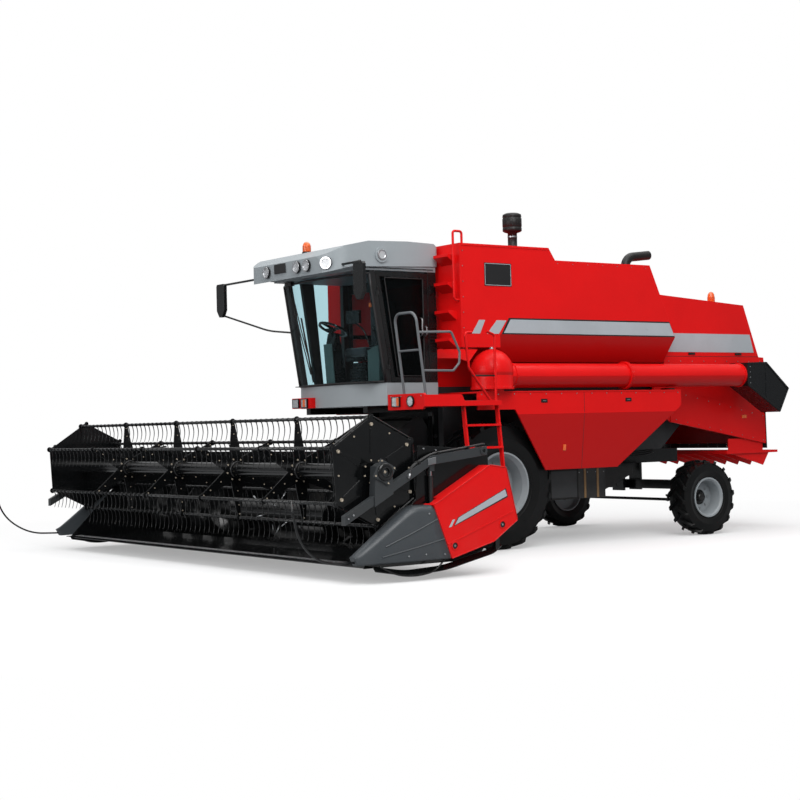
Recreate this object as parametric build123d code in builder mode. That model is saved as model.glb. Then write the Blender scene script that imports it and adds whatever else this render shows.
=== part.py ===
from build123d import *
import math
import os

os.makedirs("parts", exist_ok=True)

# Combine harvester with a 7 m grain header. Millimetres, front faces -Y, left side is +X,
# the ground is Z = 0. Distances along the machine are given behind the front axle and
# placed by at(); heights are above the ground.

# Reach along the machine, measured from the front axle
FRONT_REACH = 4440
REAR_REACH = 5330
FRONT_AXLE_Y = (FRONT_REACH - REAR_REACH) / 2

# Running clearances
GAP = 0.3
SHAFT_GAP = 0.05
MOVE_GAP = 8
BOTH_SIDES = (-1, 1)

# Wheels
WHEELBASE = 3346
FRONT_TYRE_R = 785
FRONT_TYRE_W = 470
FRONT_TRACK_X = 1180
FRONT_RIM_R = 405
REAR_TYRE_R = 494
REAR_TYRE_W = 320
REAR_TRACK_X = 1410
REAR_RIM_R = 262
FRONT_SPINDLE_R = 70
REAR_SPINDLE_R = 35

# Rear steering axle
KINGPIN_X = 1090
KINGPIN_R = 24
KINGPIN_BOSS_R = 48
KINGPIN_BOSS_LOW = 545
KINGPIN_BOSS_HIGH = 735
KNUCKLE_EAR = 34
TIE_ROD_LEAD = 300
TIE_ROD_Z = 470
TIE_ROD_R = 19
TIE_PIN_R = 14

# Chassis and body
RAIL_X = 640
RAIL_W = 90
RAIL_LOW = 960
RAIL_HIGH = 1140
BODY_HALF = 780
BODY_FRONT = -430
CAB_POST_Y = -480
TANK_HALF = 1450
TANK_FRONT = -630
TANK_WALL = 30
CREASE_Z = 2608
TANK_FLOOR_Z = 2000
TANK_KEEL_Z = 2285
TANK_KEEL_HALF = 1250
SHIELD_X = 1540
SHIELD_T = 20
HOOD_HALF = 1200
HOOD_SHEET = 25
HOOD_LOW = 2240
STRAW_HALF = 1020
STRAW_SHEET = 25

# Cab
CAB_X = 70
CAB_HALF = 960
CAB_FLOOR_Z = 2050
CAB_SILL_Z = 1780
CAB_EAVES_Z = 3370
CAB_REAR = -680
PILLAR_LOW_Y = -1430
PILLAR_HIGH_Y = -1640
SCREEN_BOW = 150
GLASS_T = 8
POST = 70
DOOR_T = 40
HINGE_R = 9

# Unloading auger
AUGER_X = 1450
AUGER_Z = 2110
AUGER_R = 150
AUGER_PIVOT_Y = -180
ELBOW_R = 250
ELBOW_TOP = 2430
AUGER_TUBE_END = 4080

# Header
HEADER_HALF = 3500
SHEET_T = 12
HEADER_BACK = -1900
HEADER_TOP = 1270
FLOOR_Z = 150
KNIFE_Y = -3480
KNIFE_Z = 196
KNIFE_STROKE = 76.2
KNIFE_PITCH = 76.2
KNIFE_SECTIONS = 2 * int((HEADER_HALF - 120) / KNIFE_PITCH)
HEADER_AUGER_Y = -2260
HEADER_AUGER_Z = 540
HEADER_AUGER_R = 150
FLIGHT_R = 300
FLIGHT_PITCH = 560
FEEDER_PIVOT_Z = 1400
FEEDER_PIVOT_R = 28
FEEDER_HALF = 560
MOUTH_DEPTH = 320

# Reel
REEL_Y = -3284
REEL_Z = 1089
BAT_RADIUS = 541
BAT_COUNT = 6
BAT_TILT = -3.2
BAT_R = 17
REEL_TUBE_R = 80
REEL_HALF = HEADER_HALF - 60
SPIDER_COUNT = 6
TINE_LENGTH = 215
TINES_PER_BAY = 12
TINE_T = 8
TINE_BOW = 22
CAM_BACK = 95
CAM_UP = 38
CAM_BEARING_R = 175
ARM_X = HEADER_HALF + 60
ARM_PIVOT_Y = -2030
ARM_PIVOT_Z = 1262
ARM_BEND_Y = -2690
ARM_BEND_Z = 1185
ARM_TIP_Y = -3735
ARM_TIP_Z = 633
ARM_W = 70
ARM_H = 90
ARM_PIN_R = 20

# Lift cylinders of the feeder and of the reel
LIFT_X = 480
LIFT_FOOT_Y = -240
LIFT_FOOT_Z = 610
LIFT_EYE_Y = -1560
LIFT_EYE_Z = 455
LIFT_BARREL_R = 48
LIFT_ROD_R = 28
LIFT_PIN_R = 22
LIFT_LUG_IN = 30
LIFT_LUG_T = 16
REEL_LIFT_Y = -2665
REEL_LIFT_FOOT_Z = 545
REEL_LIFT_EYE_Z = 1100
REEL_LIFT_X = HEADER_HALF + 34
REEL_LIFT_BARREL_R = 24
REEL_LIFT_ROD_R = 13
REEL_LIFT_PIN_R = 12
REEL_EYE_HALF = 15


def at(distance):
    """Model Y of a place this far behind the front axle."""
    return FRONT_AXLE_Y + distance


def side(points):
    """Side view points (distance behind the front axle, height) as sketch points."""
    return [(at(y), z) for y, z in points]


def across(half):
    """Side view plane at the right end of something this half wide."""
    return Plane.YZ.offset(-half)


def rod_plane(x, y, z, angle):
    """Plane whose normal is a level -Y line turned up by this many degrees."""
    a = math.radians(angle)
    return Plane(origin=(x, at(y), z), x_dir=(1, 0, 0), z_dir=(0, -math.cos(a), math.sin(a)))


def save(built, name):
    built.part.label = name
    export_step(built.part, f"parts/{name}.step")


# Chassis: two box rails with pads down to the front axle, posts and beams under the cab,
# and between them the cross members, two of them with the plates of the rear axle pivot
# and the last one with the tow clevis.
REAR_PIVOT_Z = 655
REAR_PIVOT_R = 40
AXLE_BEAM_H = 260
AXLE_BEAM_W = 220
AXLE_TOP = FRONT_TYRE_R + AXLE_BEAM_H / 2
RAIL_FRONT = CAB_POST_Y - RAIL_W / 2
RAIL_REAR = WHEELBASE + 304
RAIL_MID_Z = (RAIL_LOW + RAIL_HIGH) / 2
CAB_BEAM_H = 80
TOW_PIN_R = 16
TOW_Y = RAIL_REAR + 90
CROSS_HALF = RAIL_X - RAIL_W / 2 - GAP
with BuildPart() as chassis_frame:
    with Locations(*[(s * RAIL_X, at((RAIL_FRONT + RAIL_REAR) / 2), RAIL_MID_Z) for s in BOTH_SIDES]):
        Box(RAIL_W, RAIL_REAR - RAIL_FRONT, RAIL_HIGH - RAIL_LOW)
    with Locations(*[(0, at(y), RAIL_MID_Z) for y in (0, WHEELBASE - 160, WHEELBASE + 160, RAIL_REAR - 40)]):
        Box(2 * CROSS_HALF, 70, 120)
    with Locations(*[(s * RAIL_X, at(0), (AXLE_TOP + RAIL_LOW) / 2) for s in BOTH_SIDES]):
        Box(RAIL_W, AXLE_BEAM_W, RAIL_LOW - AXLE_TOP)
    with Locations(*[(s * RAIL_X, at(CAB_POST_Y), (RAIL_HIGH + CAB_SILL_Z) / 2) for s in BOTH_SIDES]):
        Box(RAIL_W, RAIL_W, CAB_SILL_Z - RAIL_HIGH)
    with Locations(*[(s * RAIL_X, at(CAB_POST_Y - 500), CAB_SILL_Z - CAB_BEAM_H / 2) for s in BOTH_SIDES]):
        Box(RAIL_W, 1000, CAB_BEAM_H)
    with BuildSketch(across(RAIL_X + RAIL_W)):
        with Locations((at(CAB_POST_Y), FEEDER_PIVOT_Z)):
            Circle(FEEDER_PIVOT_R + SHAFT_GAP)
    extrude(amount=2 * (RAIL_X + RAIL_W), mode=Mode.SUBTRACT)
    with Locations(*[(0, at(WHEELBASE + s * 160), (REAR_PIVOT_Z - 90 + RAIL_MID_Z) / 2) for s in BOTH_SIDES]):
        Box(220, 40, RAIL_MID_Z - REAR_PIVOT_Z + 90)
    with BuildSketch(Plane.XZ.offset(-at(WHEELBASE) - 200)):
        with Locations((0, REAR_PIVOT_Z)):
            Circle(REAR_PIVOT_R + SHAFT_GAP)
    extrude(amount=400, mode=Mode.SUBTRACT)
    with Locations(*[(0, at(RAIL_REAR + 60), RAIL_MID_Z + s * 38) for s in BOTH_SIDES]):
        Box(110, 150, 24)
    with BuildSketch(Plane.XY.offset(RAIL_MID_Z - 60)):
        with Locations((0, at(TOW_Y))):
            Circle(TOW_PIN_R)
    extrude(amount=120, mode=Mode.SUBTRACT)
save(chassis_frame, "chassis_frame")

# Front axle: square beam, stepped final drives and the spindles under the wheel hubs.
FRONT_HUB_X = FRONT_TRACK_X - 60
with BuildPart() as front_axle:
    with Locations((0, at(0), FRONT_TYRE_R)):
        Box(1500, AXLE_BEAM_W, AXLE_BEAM_H)
    for s in BOTH_SIDES:
        with BuildSketch(Plane.YZ.offset(s * 700)):
            with Locations((at(0), FRONT_TYRE_R)):
                Circle(230)
        extrude(amount=s * 160)
        with BuildSketch(Plane.YZ.offset(s * 860)):
            with Locations((at(0), FRONT_TYRE_R)):
                Circle(150)
        extrude(amount=s * (FRONT_HUB_X - 860 - GAP))
        with BuildSketch(Plane.YZ.offset(s * (FRONT_HUB_X - GAP))):
            with Locations((at(0), FRONT_TYRE_R)):
                Circle(FRONT_SPINDLE_R)
        extrude(amount=s * 90)
        for side_x in (s * LIFT_X - 70, s * LIFT_X + 54):
            with BuildSketch(Plane.YZ.offset(side_x)):
                Polygon(*side([
                    (-AXLE_BEAM_W / 2, 800), (LIFT_FOOT_Y - 30, LIFT_FOOT_Z + 30),
                    (LIFT_FOOT_Y - 30, LIFT_FOOT_Z - 35), (-AXLE_BEAM_W / 2, 660),
                ]), align=None)
            extrude(amount=16)
        with BuildSketch(Plane.YZ.offset(s * LIFT_X - 70)):
            with Locations((at(LIFT_FOOT_Y), LIFT_FOOT_Z)):
                Circle(LIFT_PIN_R)
        extrude(amount=140)
save(front_axle, "front_axle")

# Rear axle: box beam on its centre pivot, with a boss for each kingpin.
with BuildPart() as rear_axle:
    with Locations((0, at(WHEELBASE), REAR_PIVOT_Z)):
        Box(2 * KINGPIN_X, 120, 120)
    with BuildSketch(Plane.XZ.offset(-at(WHEELBASE) - 175)):
        with Locations((0, REAR_PIVOT_Z)):
            Circle(REAR_PIVOT_R)
    extrude(amount=350)
    with BuildSketch(Plane.XY.offset(KINGPIN_BOSS_LOW)):
        with Locations(*[(s * KINGPIN_X, at(WHEELBASE)) for s in BOTH_SIDES]):
            Circle(KINGPIN_BOSS_R)
    extrude(amount=KINGPIN_BOSS_HIGH - KINGPIN_BOSS_LOW)
    with BuildSketch(Plane.XY.offset(KINGPIN_BOSS_LOW)):
        with Locations(*[(s * KINGPIN_X, at(WHEELBASE)) for s in BOTH_SIDES]):
            Circle(KINGPIN_R + SHAFT_GAP)
    extrude(amount=KINGPIN_BOSS_HIGH - KINGPIN_BOSS_LOW, mode=Mode.SUBTRACT)
save(rear_axle, "rear_axle")


# Steering knuckle: two ears round the kingpin boss, the pin through them, the spindle
# outwards and the steering arm forwards.
def knuckle(s):
    with BuildPart() as built:
        low = KINGPIN_BOSS_LOW - GAP - KNUCKLE_EAR
        high = KINGPIN_BOSS_HIGH + GAP + KNUCKLE_EAR
        with BuildSketch(Plane.XY.offset(low)):
            with Locations((s * (KINGPIN_X + 50), at(WHEELBASE))):
                Rectangle(190, 110)
        extrude(amount=high - low)
        with BuildSketch(Plane.XY.offset(low + KNUCKLE_EAR)):
            with Locations((s * (KINGPIN_X - 10), at(WHEELBASE))):
                Rectangle(2 * (KINGPIN_BOSS_R + MOVE_GAP) + 20, 200)
        extrude(amount=high - low - 2 * KNUCKLE_EAR, mode=Mode.SUBTRACT)
        with BuildSketch(Plane.XY.offset(low)):
            with Locations((s * KINGPIN_X, at(WHEELBASE))):
                Circle(KINGPIN_R)
        extrude(amount=high - low)
        with BuildSketch(Plane.YZ.offset(s * (KINGPIN_X + 140))):
            with Locations((at(WHEELBASE), REAR_TYRE_R)):
                Circle(60)
        extrude(amount=s * (REAR_HUB_X - KINGPIN_X - 140 - GAP))
        with BuildSketch(Plane.YZ.offset(s * (KINGPIN_X + 140))):
            with Locations((at(WHEELBASE), REAR_TYRE_R)):
                Circle(REAR_SPINDLE_R)
        extrude(amount=s * (REAR_HUB_X - KINGPIN_X - 140 + 70))
        with BuildSketch(Plane.XY.offset(low)):
            with Locations((s * KINGPIN_X, at(WHEELBASE - TIE_ROD_LEAD / 2))):
                Rectangle(56, TIE_ROD_LEAD)
            with Locations((s * KINGPIN_X, at(WHEELBASE - TIE_ROD_LEAD))):
                Circle(28)
        extrude(amount=KNUCKLE_EAR - 6)
        with BuildSketch(Plane.XY.offset(TIE_ROD_Z - TIE_ROD_R - 6)):
            with Locations((s * KINGPIN_X, at(WHEELBASE - TIE_ROD_LEAD))):
                Circle(TIE_PIN_R)
        extrude(amount=low - TIE_ROD_Z + TIE_ROD_R + 6 + KNUCKLE_EAR / 2)
    return built


REAR_HUB_X = REAR_TRACK_X - 60
for turn, word in ((1, "left"), (-1, "right")):
    save(knuckle(turn), f"knuckle_{word}")

# Tie rod: tube between two eyes that turn on the pins of the steering arms.
TIE_EYE_R = 30
with BuildPart() as tie_rod:
    with BuildSketch(Plane.YZ.offset(-KINGPIN_X)):
        with Locations((at(WHEELBASE - TIE_ROD_LEAD), TIE_ROD_Z)):
            Circle(TIE_ROD_R)
    extrude(amount=2 * KINGPIN_X)
    with BuildSketch(Plane.XY.offset(TIE_ROD_Z - TIE_ROD_R)):
        with Locations(*[(s * KINGPIN_X, at(WHEELBASE - TIE_ROD_LEAD)) for s in BOTH_SIDES]):
            Circle(TIE_EYE_R)
    extrude(amount=2 * TIE_ROD_R)
    with BuildSketch(Plane.XY.offset(TIE_ROD_Z - TIE_ROD_R - 10)):
        with Locations(*[(s * KINGPIN_X, at(WHEELBASE - TIE_ROD_LEAD)) for s in BOTH_SIDES]):
            Circle(TIE_PIN_R + SHAFT_GAP)
    extrude(amount=2 * TIE_ROD_R + 20, mode=Mode.SUBTRACT)
save(tie_rod, "tie_rod")


# Tyre: a carcass turned round the axle, with cleated bars cut off at the outer radius.
# Half of the bars lean one way from the middle, the other half the other way.
def tyre(center, radius, width, rim, lugs, lug_height):
    x, y, z = center
    half = width / 2
    tread = radius - lug_height
    hub = Plane(origin=(x, y, z), x_dir=(0, 0, 1), z_dir=(0, 1, 0))
    with BuildPart() as built:
        lean = 42
        for s in BOTH_SIDES:
            top = Plane(origin=(x, y, z + radius + 5), x_dir=(1, 0, 0), z_dir=(0, 0, -1))
            with BuildSketch(top):
                bar = half * 1.12
                with Locations((s * half * 0.52, 0)):
                    Rectangle(bar / math.cos(math.radians(lean)), lug_height * 1.15, rotation=s * lean)
            shift = 0 if s > 0 else 180 / lugs
            bar_solid = extrude(amount=lug_height + 30, mode=Mode.PRIVATE)
            axis = Axis((x, y, z), (1, 0, 0))
            for i in range(lugs):
                add(bar_solid.rotate(axis, 360 / lugs * i + shift))
        with BuildSketch(hub):
            with BuildLine():
                Polyline(
                    (rim, -half * 0.8),
                    (radius * 0.86, -half * 1.0),
                    (radius * 0.985, -half * 0.84),
                    (radius, -half * 0.35),
                    (radius, half * 0.35),
                    (radius * 0.985, half * 0.84),
                    (radius * 0.86, half * 1.0),
                    (rim, half * 0.8),
                    close=True,
                )
            make_face()
        revolve(axis=Axis((x, y, z), (1, 0, 0)), mode=Mode.INTERSECT)
        with BuildSketch(hub):
            with BuildLine():
                Polyline(
                    (rim, -half * 0.78),
                    (rim + (tread - rim) * 0.45, -half * 0.96),
                    (tread * 0.97, -half * 0.86),
                    (tread, -half * 0.4),
                    (tread, half * 0.4),
                    (tread * 0.97, half * 0.86),
                    (rim + (tread - rim) * 0.45, half * 0.96),
                    (rim, half * 0.78),
                    close=True,
                )
            make_face()
        revolve(axis=Axis((x, y, z), (1, 0, 0)))
    return built


WHEELS = [
    # name, x, distance behind the front axle, tyre radius, width, rim radius, bars, bar height
    ("front_tyre", FRONT_TRACK_X, 0, FRONT_TYRE_R, FRONT_TYRE_W, FRONT_RIM_R, 20, 40),
    ("rear_tyre", REAR_TRACK_X, WHEELBASE, REAR_TYRE_R, REAR_TYRE_W, REAR_RIM_R, 16, 30),
]
for name, x, y, radius, width, rim, lugs, lug_height in WHEELS:
    left = tyre((x, at(y), radius), radius, width, rim, lugs, lug_height)
    save(left, f"{name}_left")
    with BuildPart() as right:
        mirror(left.part, about=Plane.YZ)
    save(right, f"{name}_right")

# Rims: barrel, flanges and dish, turned as one profile. Columns: place along the wheel
# axis towards the outside, radius.
FRONT_RIM_PROFILE = [
    (-200, FRONT_RIM_R - GAP), (-200, 380), (-60, 352), (-60, FRONT_SPINDLE_R + SHAFT_GAP),
    (-32, FRONT_SPINDLE_R + SHAFT_GAP), (-10, 150), (-10, 210), (-36, 230), (-36, 340), (140, 352),
    (205, 384), (205, FRONT_RIM_R - GAP),
]
REAR_RIM_PROFILE = [
    (-140, REAR_RIM_R - GAP), (-140, 245), (-60, 228), (-60, REAR_SPINDLE_R + SHAFT_GAP),
    (-4, REAR_SPINDLE_R + SHAFT_GAP), (-4, 62), (-40, 70), (-40, 216), (118, 226),
    (140, 244), (140, REAR_RIM_R - GAP),
]


def rim(center, profile):
    x, y, z = center
    with BuildPart() as built:
        with BuildSketch(Plane(origin=(x, y, z), x_dir=(0, 0, 1), z_dir=(0, 1, 0))):
            with BuildLine():
                Polyline(*[(r, a) for a, r in profile], close=True)
            make_face()
        revolve(axis=Axis((x, y, z), (1, 0, 0)))
    return built


for name, x, y, radius, profile in (
    ("front_rim", FRONT_TRACK_X, 0, FRONT_TYRE_R, FRONT_RIM_PROFILE),
    ("rear_rim", REAR_TRACK_X, WHEELBASE, REAR_TYRE_R, REAR_RIM_PROFILE),
):
    left = rim((x, at(y), radius), profile)
    save(left, f"{name}_left")
    with BuildPart() as right:
        mirror(left.part, about=Plane.YZ)
    save(right, f"{name}_right")

# Threshing body: closed sheet body between the rails and the tank.
with BuildPart() as threshing_body:
    with BuildSketch(across(BODY_HALF)):
        Polygon(*side([
            (BODY_FRONT, RAIL_HIGH), (BODY_FRONT, 1800), (-600, 1960), (-600, TANK_FLOOR_Z),
            (2930, TANK_FLOOR_Z), (2930, HOOD_LOW - STRAW_SHEET), (3900, HOOD_LOW - STRAW_SHEET),
            (3900, 1700), (3250, RAIL_HIGH),
        ]), align=None)
    extrude(amount=2 * BODY_HALF)
save(threshing_body, "threshing_body")

# Cleaning shoe: tapered box hung between the rails, with the fan's air boxes that stand
# out under the rails on both sides.
SHOE_HALF = RAIL_X - RAIL_W / 2 - 5
SHOE_SIDE_LOW = 545
SHOE_SIDE_HIGH = 930
FAN_BOXES = [
    # front and rear behind the front axle, half width
    (1060, 1550, 1000),
    (1550, 2050, 960),
]
with BuildPart() as cleaning_shoe:
    with BuildSketch(across(SHOE_HALF)):
        Polygon(*side([
            (620, RAIL_HIGH), (620, 640), (1240, 520), (WHEELBASE - 1116, 560), (WHEELBASE - 446, 820),
            (WHEELBASE - 446, RAIL_HIGH),
        ]), align=None)
    extrude(amount=2 * SHOE_HALF)
    for front, rear, half in FAN_BOXES:
        with Locations((0, at((front + rear) / 2), (SHOE_SIDE_LOW + SHOE_SIDE_HIGH) / 2)):
            Box(2 * half, rear - front, SHOE_SIDE_HIGH - SHOE_SIDE_LOW)
save(cleaning_shoe, "cleaning_shoe")

# Side shields: a bent sheet with its lower half leaning in, cut to the wheel arch
# outline, and the shelf that joins its top edge to the body.
SHIELD_TOP = 1920
SHIELD_BEND = 1640
SHIELD_LOW = 950
SHIELD_FOOT_X = 1455
with BuildPart() as side_shields:
    with BuildSketch(Plane.XZ.offset(-at(2890))):
        for s in BOTH_SIDES:
            Polygon(
                (s * BODY_HALF, SHIELD_TOP), (s * SHIELD_X, SHIELD_TOP), (s * SHIELD_X, SHIELD_BEND),
                (s * SHIELD_FOOT_X, SHIELD_LOW), (s * (SHIELD_FOOT_X - SHIELD_T), SHIELD_LOW),
                (s * (SHIELD_X - SHIELD_T), SHIELD_BEND), (s * (SHIELD_X - SHIELD_T), SHIELD_TOP - SHIELD_T),
                (s * BODY_HALF, SHIELD_TOP - SHIELD_T), align=None,
            )
    extrude(amount=2890 + 480)
    with BuildSketch(across(SHIELD_X + 10)):
        Polygon(*side([
            (-480, SHIELD_TOP), (2890, SHIELD_TOP), (2890, 1720), (1810, SHIELD_LOW), (620, SHIELD_LOW),
            (90, 1700), (-480, 1700),
        ]), align=None)
    extrude(amount=2 * (SHIELD_X + 10), mode=Mode.INTERSECT)
save(side_shields, "side_shields")

# Grain tank: open hopper, its lower walls drawn in above the unloading auger.
DECK_Z = 3689
DECK_REAR = 758
TANK_SIDE = [
    (TANK_FRONT, 2450), (TANK_FRONT, DECK_Z), (DECK_REAR, DECK_Z), (860, 3538), (2474, 3538),
    (2900, CREASE_Z),
    (2860, TANK_KEEL_Z), (110, TANK_KEEL_Z), (-40, 2450),
]
with BuildPart() as grain_tank:
    with BuildSketch(across(TANK_HALF)):
        Polygon(*side(TANK_SIDE), align=None)
    extrude(amount=2 * TANK_HALF)
    with BuildSketch(across(BODY_HALF - 20)):
        Polygon(*side([
            (TANK_FRONT, 2460), (TANK_FRONT, TANK_FLOOR_Z), (2840, TANK_FLOOR_Z),
            (2840, TANK_KEEL_Z + 5), (110, TANK_KEEL_Z + 5),
        ]), align=None)
    extrude(amount=2 * (BODY_HALF - 20))
    with BuildSketch(Plane.XZ.offset(-at(2910))):
        for s in BOTH_SIDES:
            Polygon(
                (s * (TANK_HALF + 5), CREASE_Z), (s * TANK_HALF, CREASE_Z), (s * TANK_KEEL_HALF, TANK_KEEL_Z),
                (s * TANK_KEEL_HALF, TANK_KEEL_Z - 10), (s * (TANK_HALF + 5), TANK_KEEL_Z - 10), align=None,
            )
    extrude(amount=2910 + 40, mode=Mode.SUBTRACT)
    inner = TANK_HALF - TANK_WALL
    with BuildSketch(Plane.XZ.offset(-at(2440))):
        Polygon(
            (-inner, 3700), (inner, 3700), (inner, CREASE_Z + 12), (300, TANK_KEEL_Z - 120),
            (-300, TANK_KEEL_Z - 120), (-inner, CREASE_Z + 12), align=None,
        )
    extrude(amount=2440 - TANK_FRONT - TANK_WALL, mode=Mode.SUBTRACT)
    with BuildSketch(across(TANK_HALF - TANK_WALL)):
        Polygon(*side([
            (TANK_FRONT + 10, DECK_Z), (TANK_FRONT + 10, DECK_Z - 20), (DECK_REAR - 12, DECK_Z - 20),
            (840, 3532), (860, 3538), (DECK_REAR, DECK_Z),
        ]), align=None)
    extrude(amount=2 * (TANK_HALF - TANK_WALL))
save(grain_tank, "grain_tank")

# Exhaust, standing on the engine deck through the hood.
EXHAUST_X = 450
EXHAUST_Y = 2990
EXHAUST_R = 62
ELBOW_RISE = 3700
with BuildPart() as exhaust_pipe:
    with BuildLine():
        FilletPolyline(
            (EXHAUST_X, at(EXHAUST_Y), HOOD_LOW + HOOD_SHEET), (EXHAUST_X, at(EXHAUST_Y), ELBOW_RISE + 60),
            (EXHAUST_X, at(EXHAUST_Y + 440), ELBOW_RISE + 110), radius=150,
        )
    with BuildSketch(Plane(origin=(EXHAUST_X, at(EXHAUST_Y), HOOD_LOW + HOOD_SHEET), z_dir=(0, 0, 1))):
        Circle(EXHAUST_R)
    sweep()
save(exhaust_pipe, "exhaust_pipe")

# Engine: one block behind the tank.
with BuildPart() as engine_block:
    with Locations((-100, at(3520), HOOD_LOW + HOOD_SHEET + 380)):
        Box(950, 1150, 760)
save(engine_block, "engine_block")

# Engine hood: sheet shell over the engine on its deck, open towards the tank.
with BuildPart() as engine_hood:
    with BuildSketch(across(HOOD_HALF)):
        Polygon(*side([
            (2640, 3210), (2960, 3185), (4480, 3085), (4760, 2370), (4860, 2365), (4870, HOOD_LOW),
            (2930, HOOD_LOW), (2930, CREASE_Z),
        ]), align=None)
    extrude(amount=2 * HOOD_HALF)
    with BuildSketch(across(HOOD_HALF - HOOD_SHEET)):
        Polygon(*side([
            (2600, 3184), (2960, 3160), (4460, 3061), (4738, 2350), (4840, 2340),
            (4845, HOOD_LOW + HOOD_SHEET), (2900, HOOD_LOW + HOOD_SHEET), (2900, CREASE_Z),
        ]), align=None)
    extrude(amount=2 * (HOOD_HALF - HOOD_SHEET), mode=Mode.SUBTRACT)
    with BuildSketch(Plane.XY.offset(2900)):
        with Locations((EXHAUST_X, at(EXHAUST_Y))):
            Circle(EXHAUST_R + GAP)
    extrude(amount=400, mode=Mode.SUBTRACT)
save(engine_hood, "engine_hood")

# Straw hood: sheet shell behind the straw walkers, open below.
with BuildPart() as straw_hood:
    with BuildSketch(across(STRAW_HALF)):
        Polygon(*side([
            (2900, HOOD_LOW), (4900, HOOD_LOW), (5060, 2120), (5060, 1165), (3200, 1500), (2900, 1700),
        ]), align=None)
    extrude(amount=2 * STRAW_HALF)
    with BuildSketch(across(STRAW_HALF - STRAW_SHEET)):
        Polygon(*side([
            (2800, HOOD_LOW - STRAW_SHEET), (4880, HOOD_LOW - STRAW_SHEET), (5035, 2100), (5035, 1100),
            (3200, 1100), (2800, 1500),
        ]), align=None)
    extrude(amount=2 * (STRAW_HALF - STRAW_SHEET), mode=Mode.SUBTRACT)
    for s in BOTH_SIDES:
        with BuildSketch(Plane.YZ.offset(s * STRAW_HALF)):
            Polygon(*side([(3200, 1960), (5060, 1582), (5060, 1165), (3200, 1500)]), align=None)
        extrude(amount=s * 12)
save(straw_hood, "straw_hood")

# Straw spreader: sloped board under the hood outlet with a row of vanes below it.
VANE_COUNT = 9
with BuildPart() as straw_spreader:
    with BuildSketch(across(STRAW_HALF - STRAW_SHEET)):
        Polygon(*side([
            (4300, 1085), (REAR_REACH, 1070), (REAR_REACH, 1035), (4300, 1035),
        ]), align=None)
    extrude(amount=2 * (STRAW_HALF - STRAW_SHEET))
    for i in range(VANE_COUNT):
        x = (STRAW_HALF - 60) * (2 * i / (VANE_COUNT - 1) - 1)
        with BuildSketch(Plane.YZ.offset(x - 3)):
            Polygon(*side([(4420, 1036), (5180, 1036), (5060, 860)]), align=None)
        extrude(amount=6)
    with Locations(*[(s * (STRAW_HALF - STRAW_SHEET - 7), at(4680), 1150) for s in BOTH_SIDES]):
        Box(14, 690, 190)
save(straw_spreader, "straw_spreader")

# Cab frame: floor, rear wall with its window opening, the posts that carry the roof, the
# wide post behind the right window and the hinge pins of the door, whose axis leans
# forward with the front post.
CAB_LEFT = CAB_X + CAB_HALF
CAB_RIGHT = CAB_X - CAB_HALF
LEAN = Vector(0, PILLAR_HIGH_Y - PILLAR_LOW_Y, CAB_EAVES_Z - CAB_FLOOR_Z)
HINGE_X = CAB_LEFT + HINGE_R
HINGE_Y = PILLAR_LOW_Y + POST + 3
HINGES = (0.12, 0.78)
HINGE_L = 50
SIDE_GLASS_IN = 2
REAR_WINDOW_Z = 2775
REAR_WINDOW_H = 950
REAR_WINDOW_HALF = CAB_HALF - 100


def hinge_plane(share):
    """Plane square to the hinge axis at this share of the window height."""
    foot = Vector(HINGE_X, at(HINGE_Y), CAB_FLOOR_Z) + LEAN * share
    return Plane(origin=foot, x_dir=(1, 0, 0), z_dir=LEAN)


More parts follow.
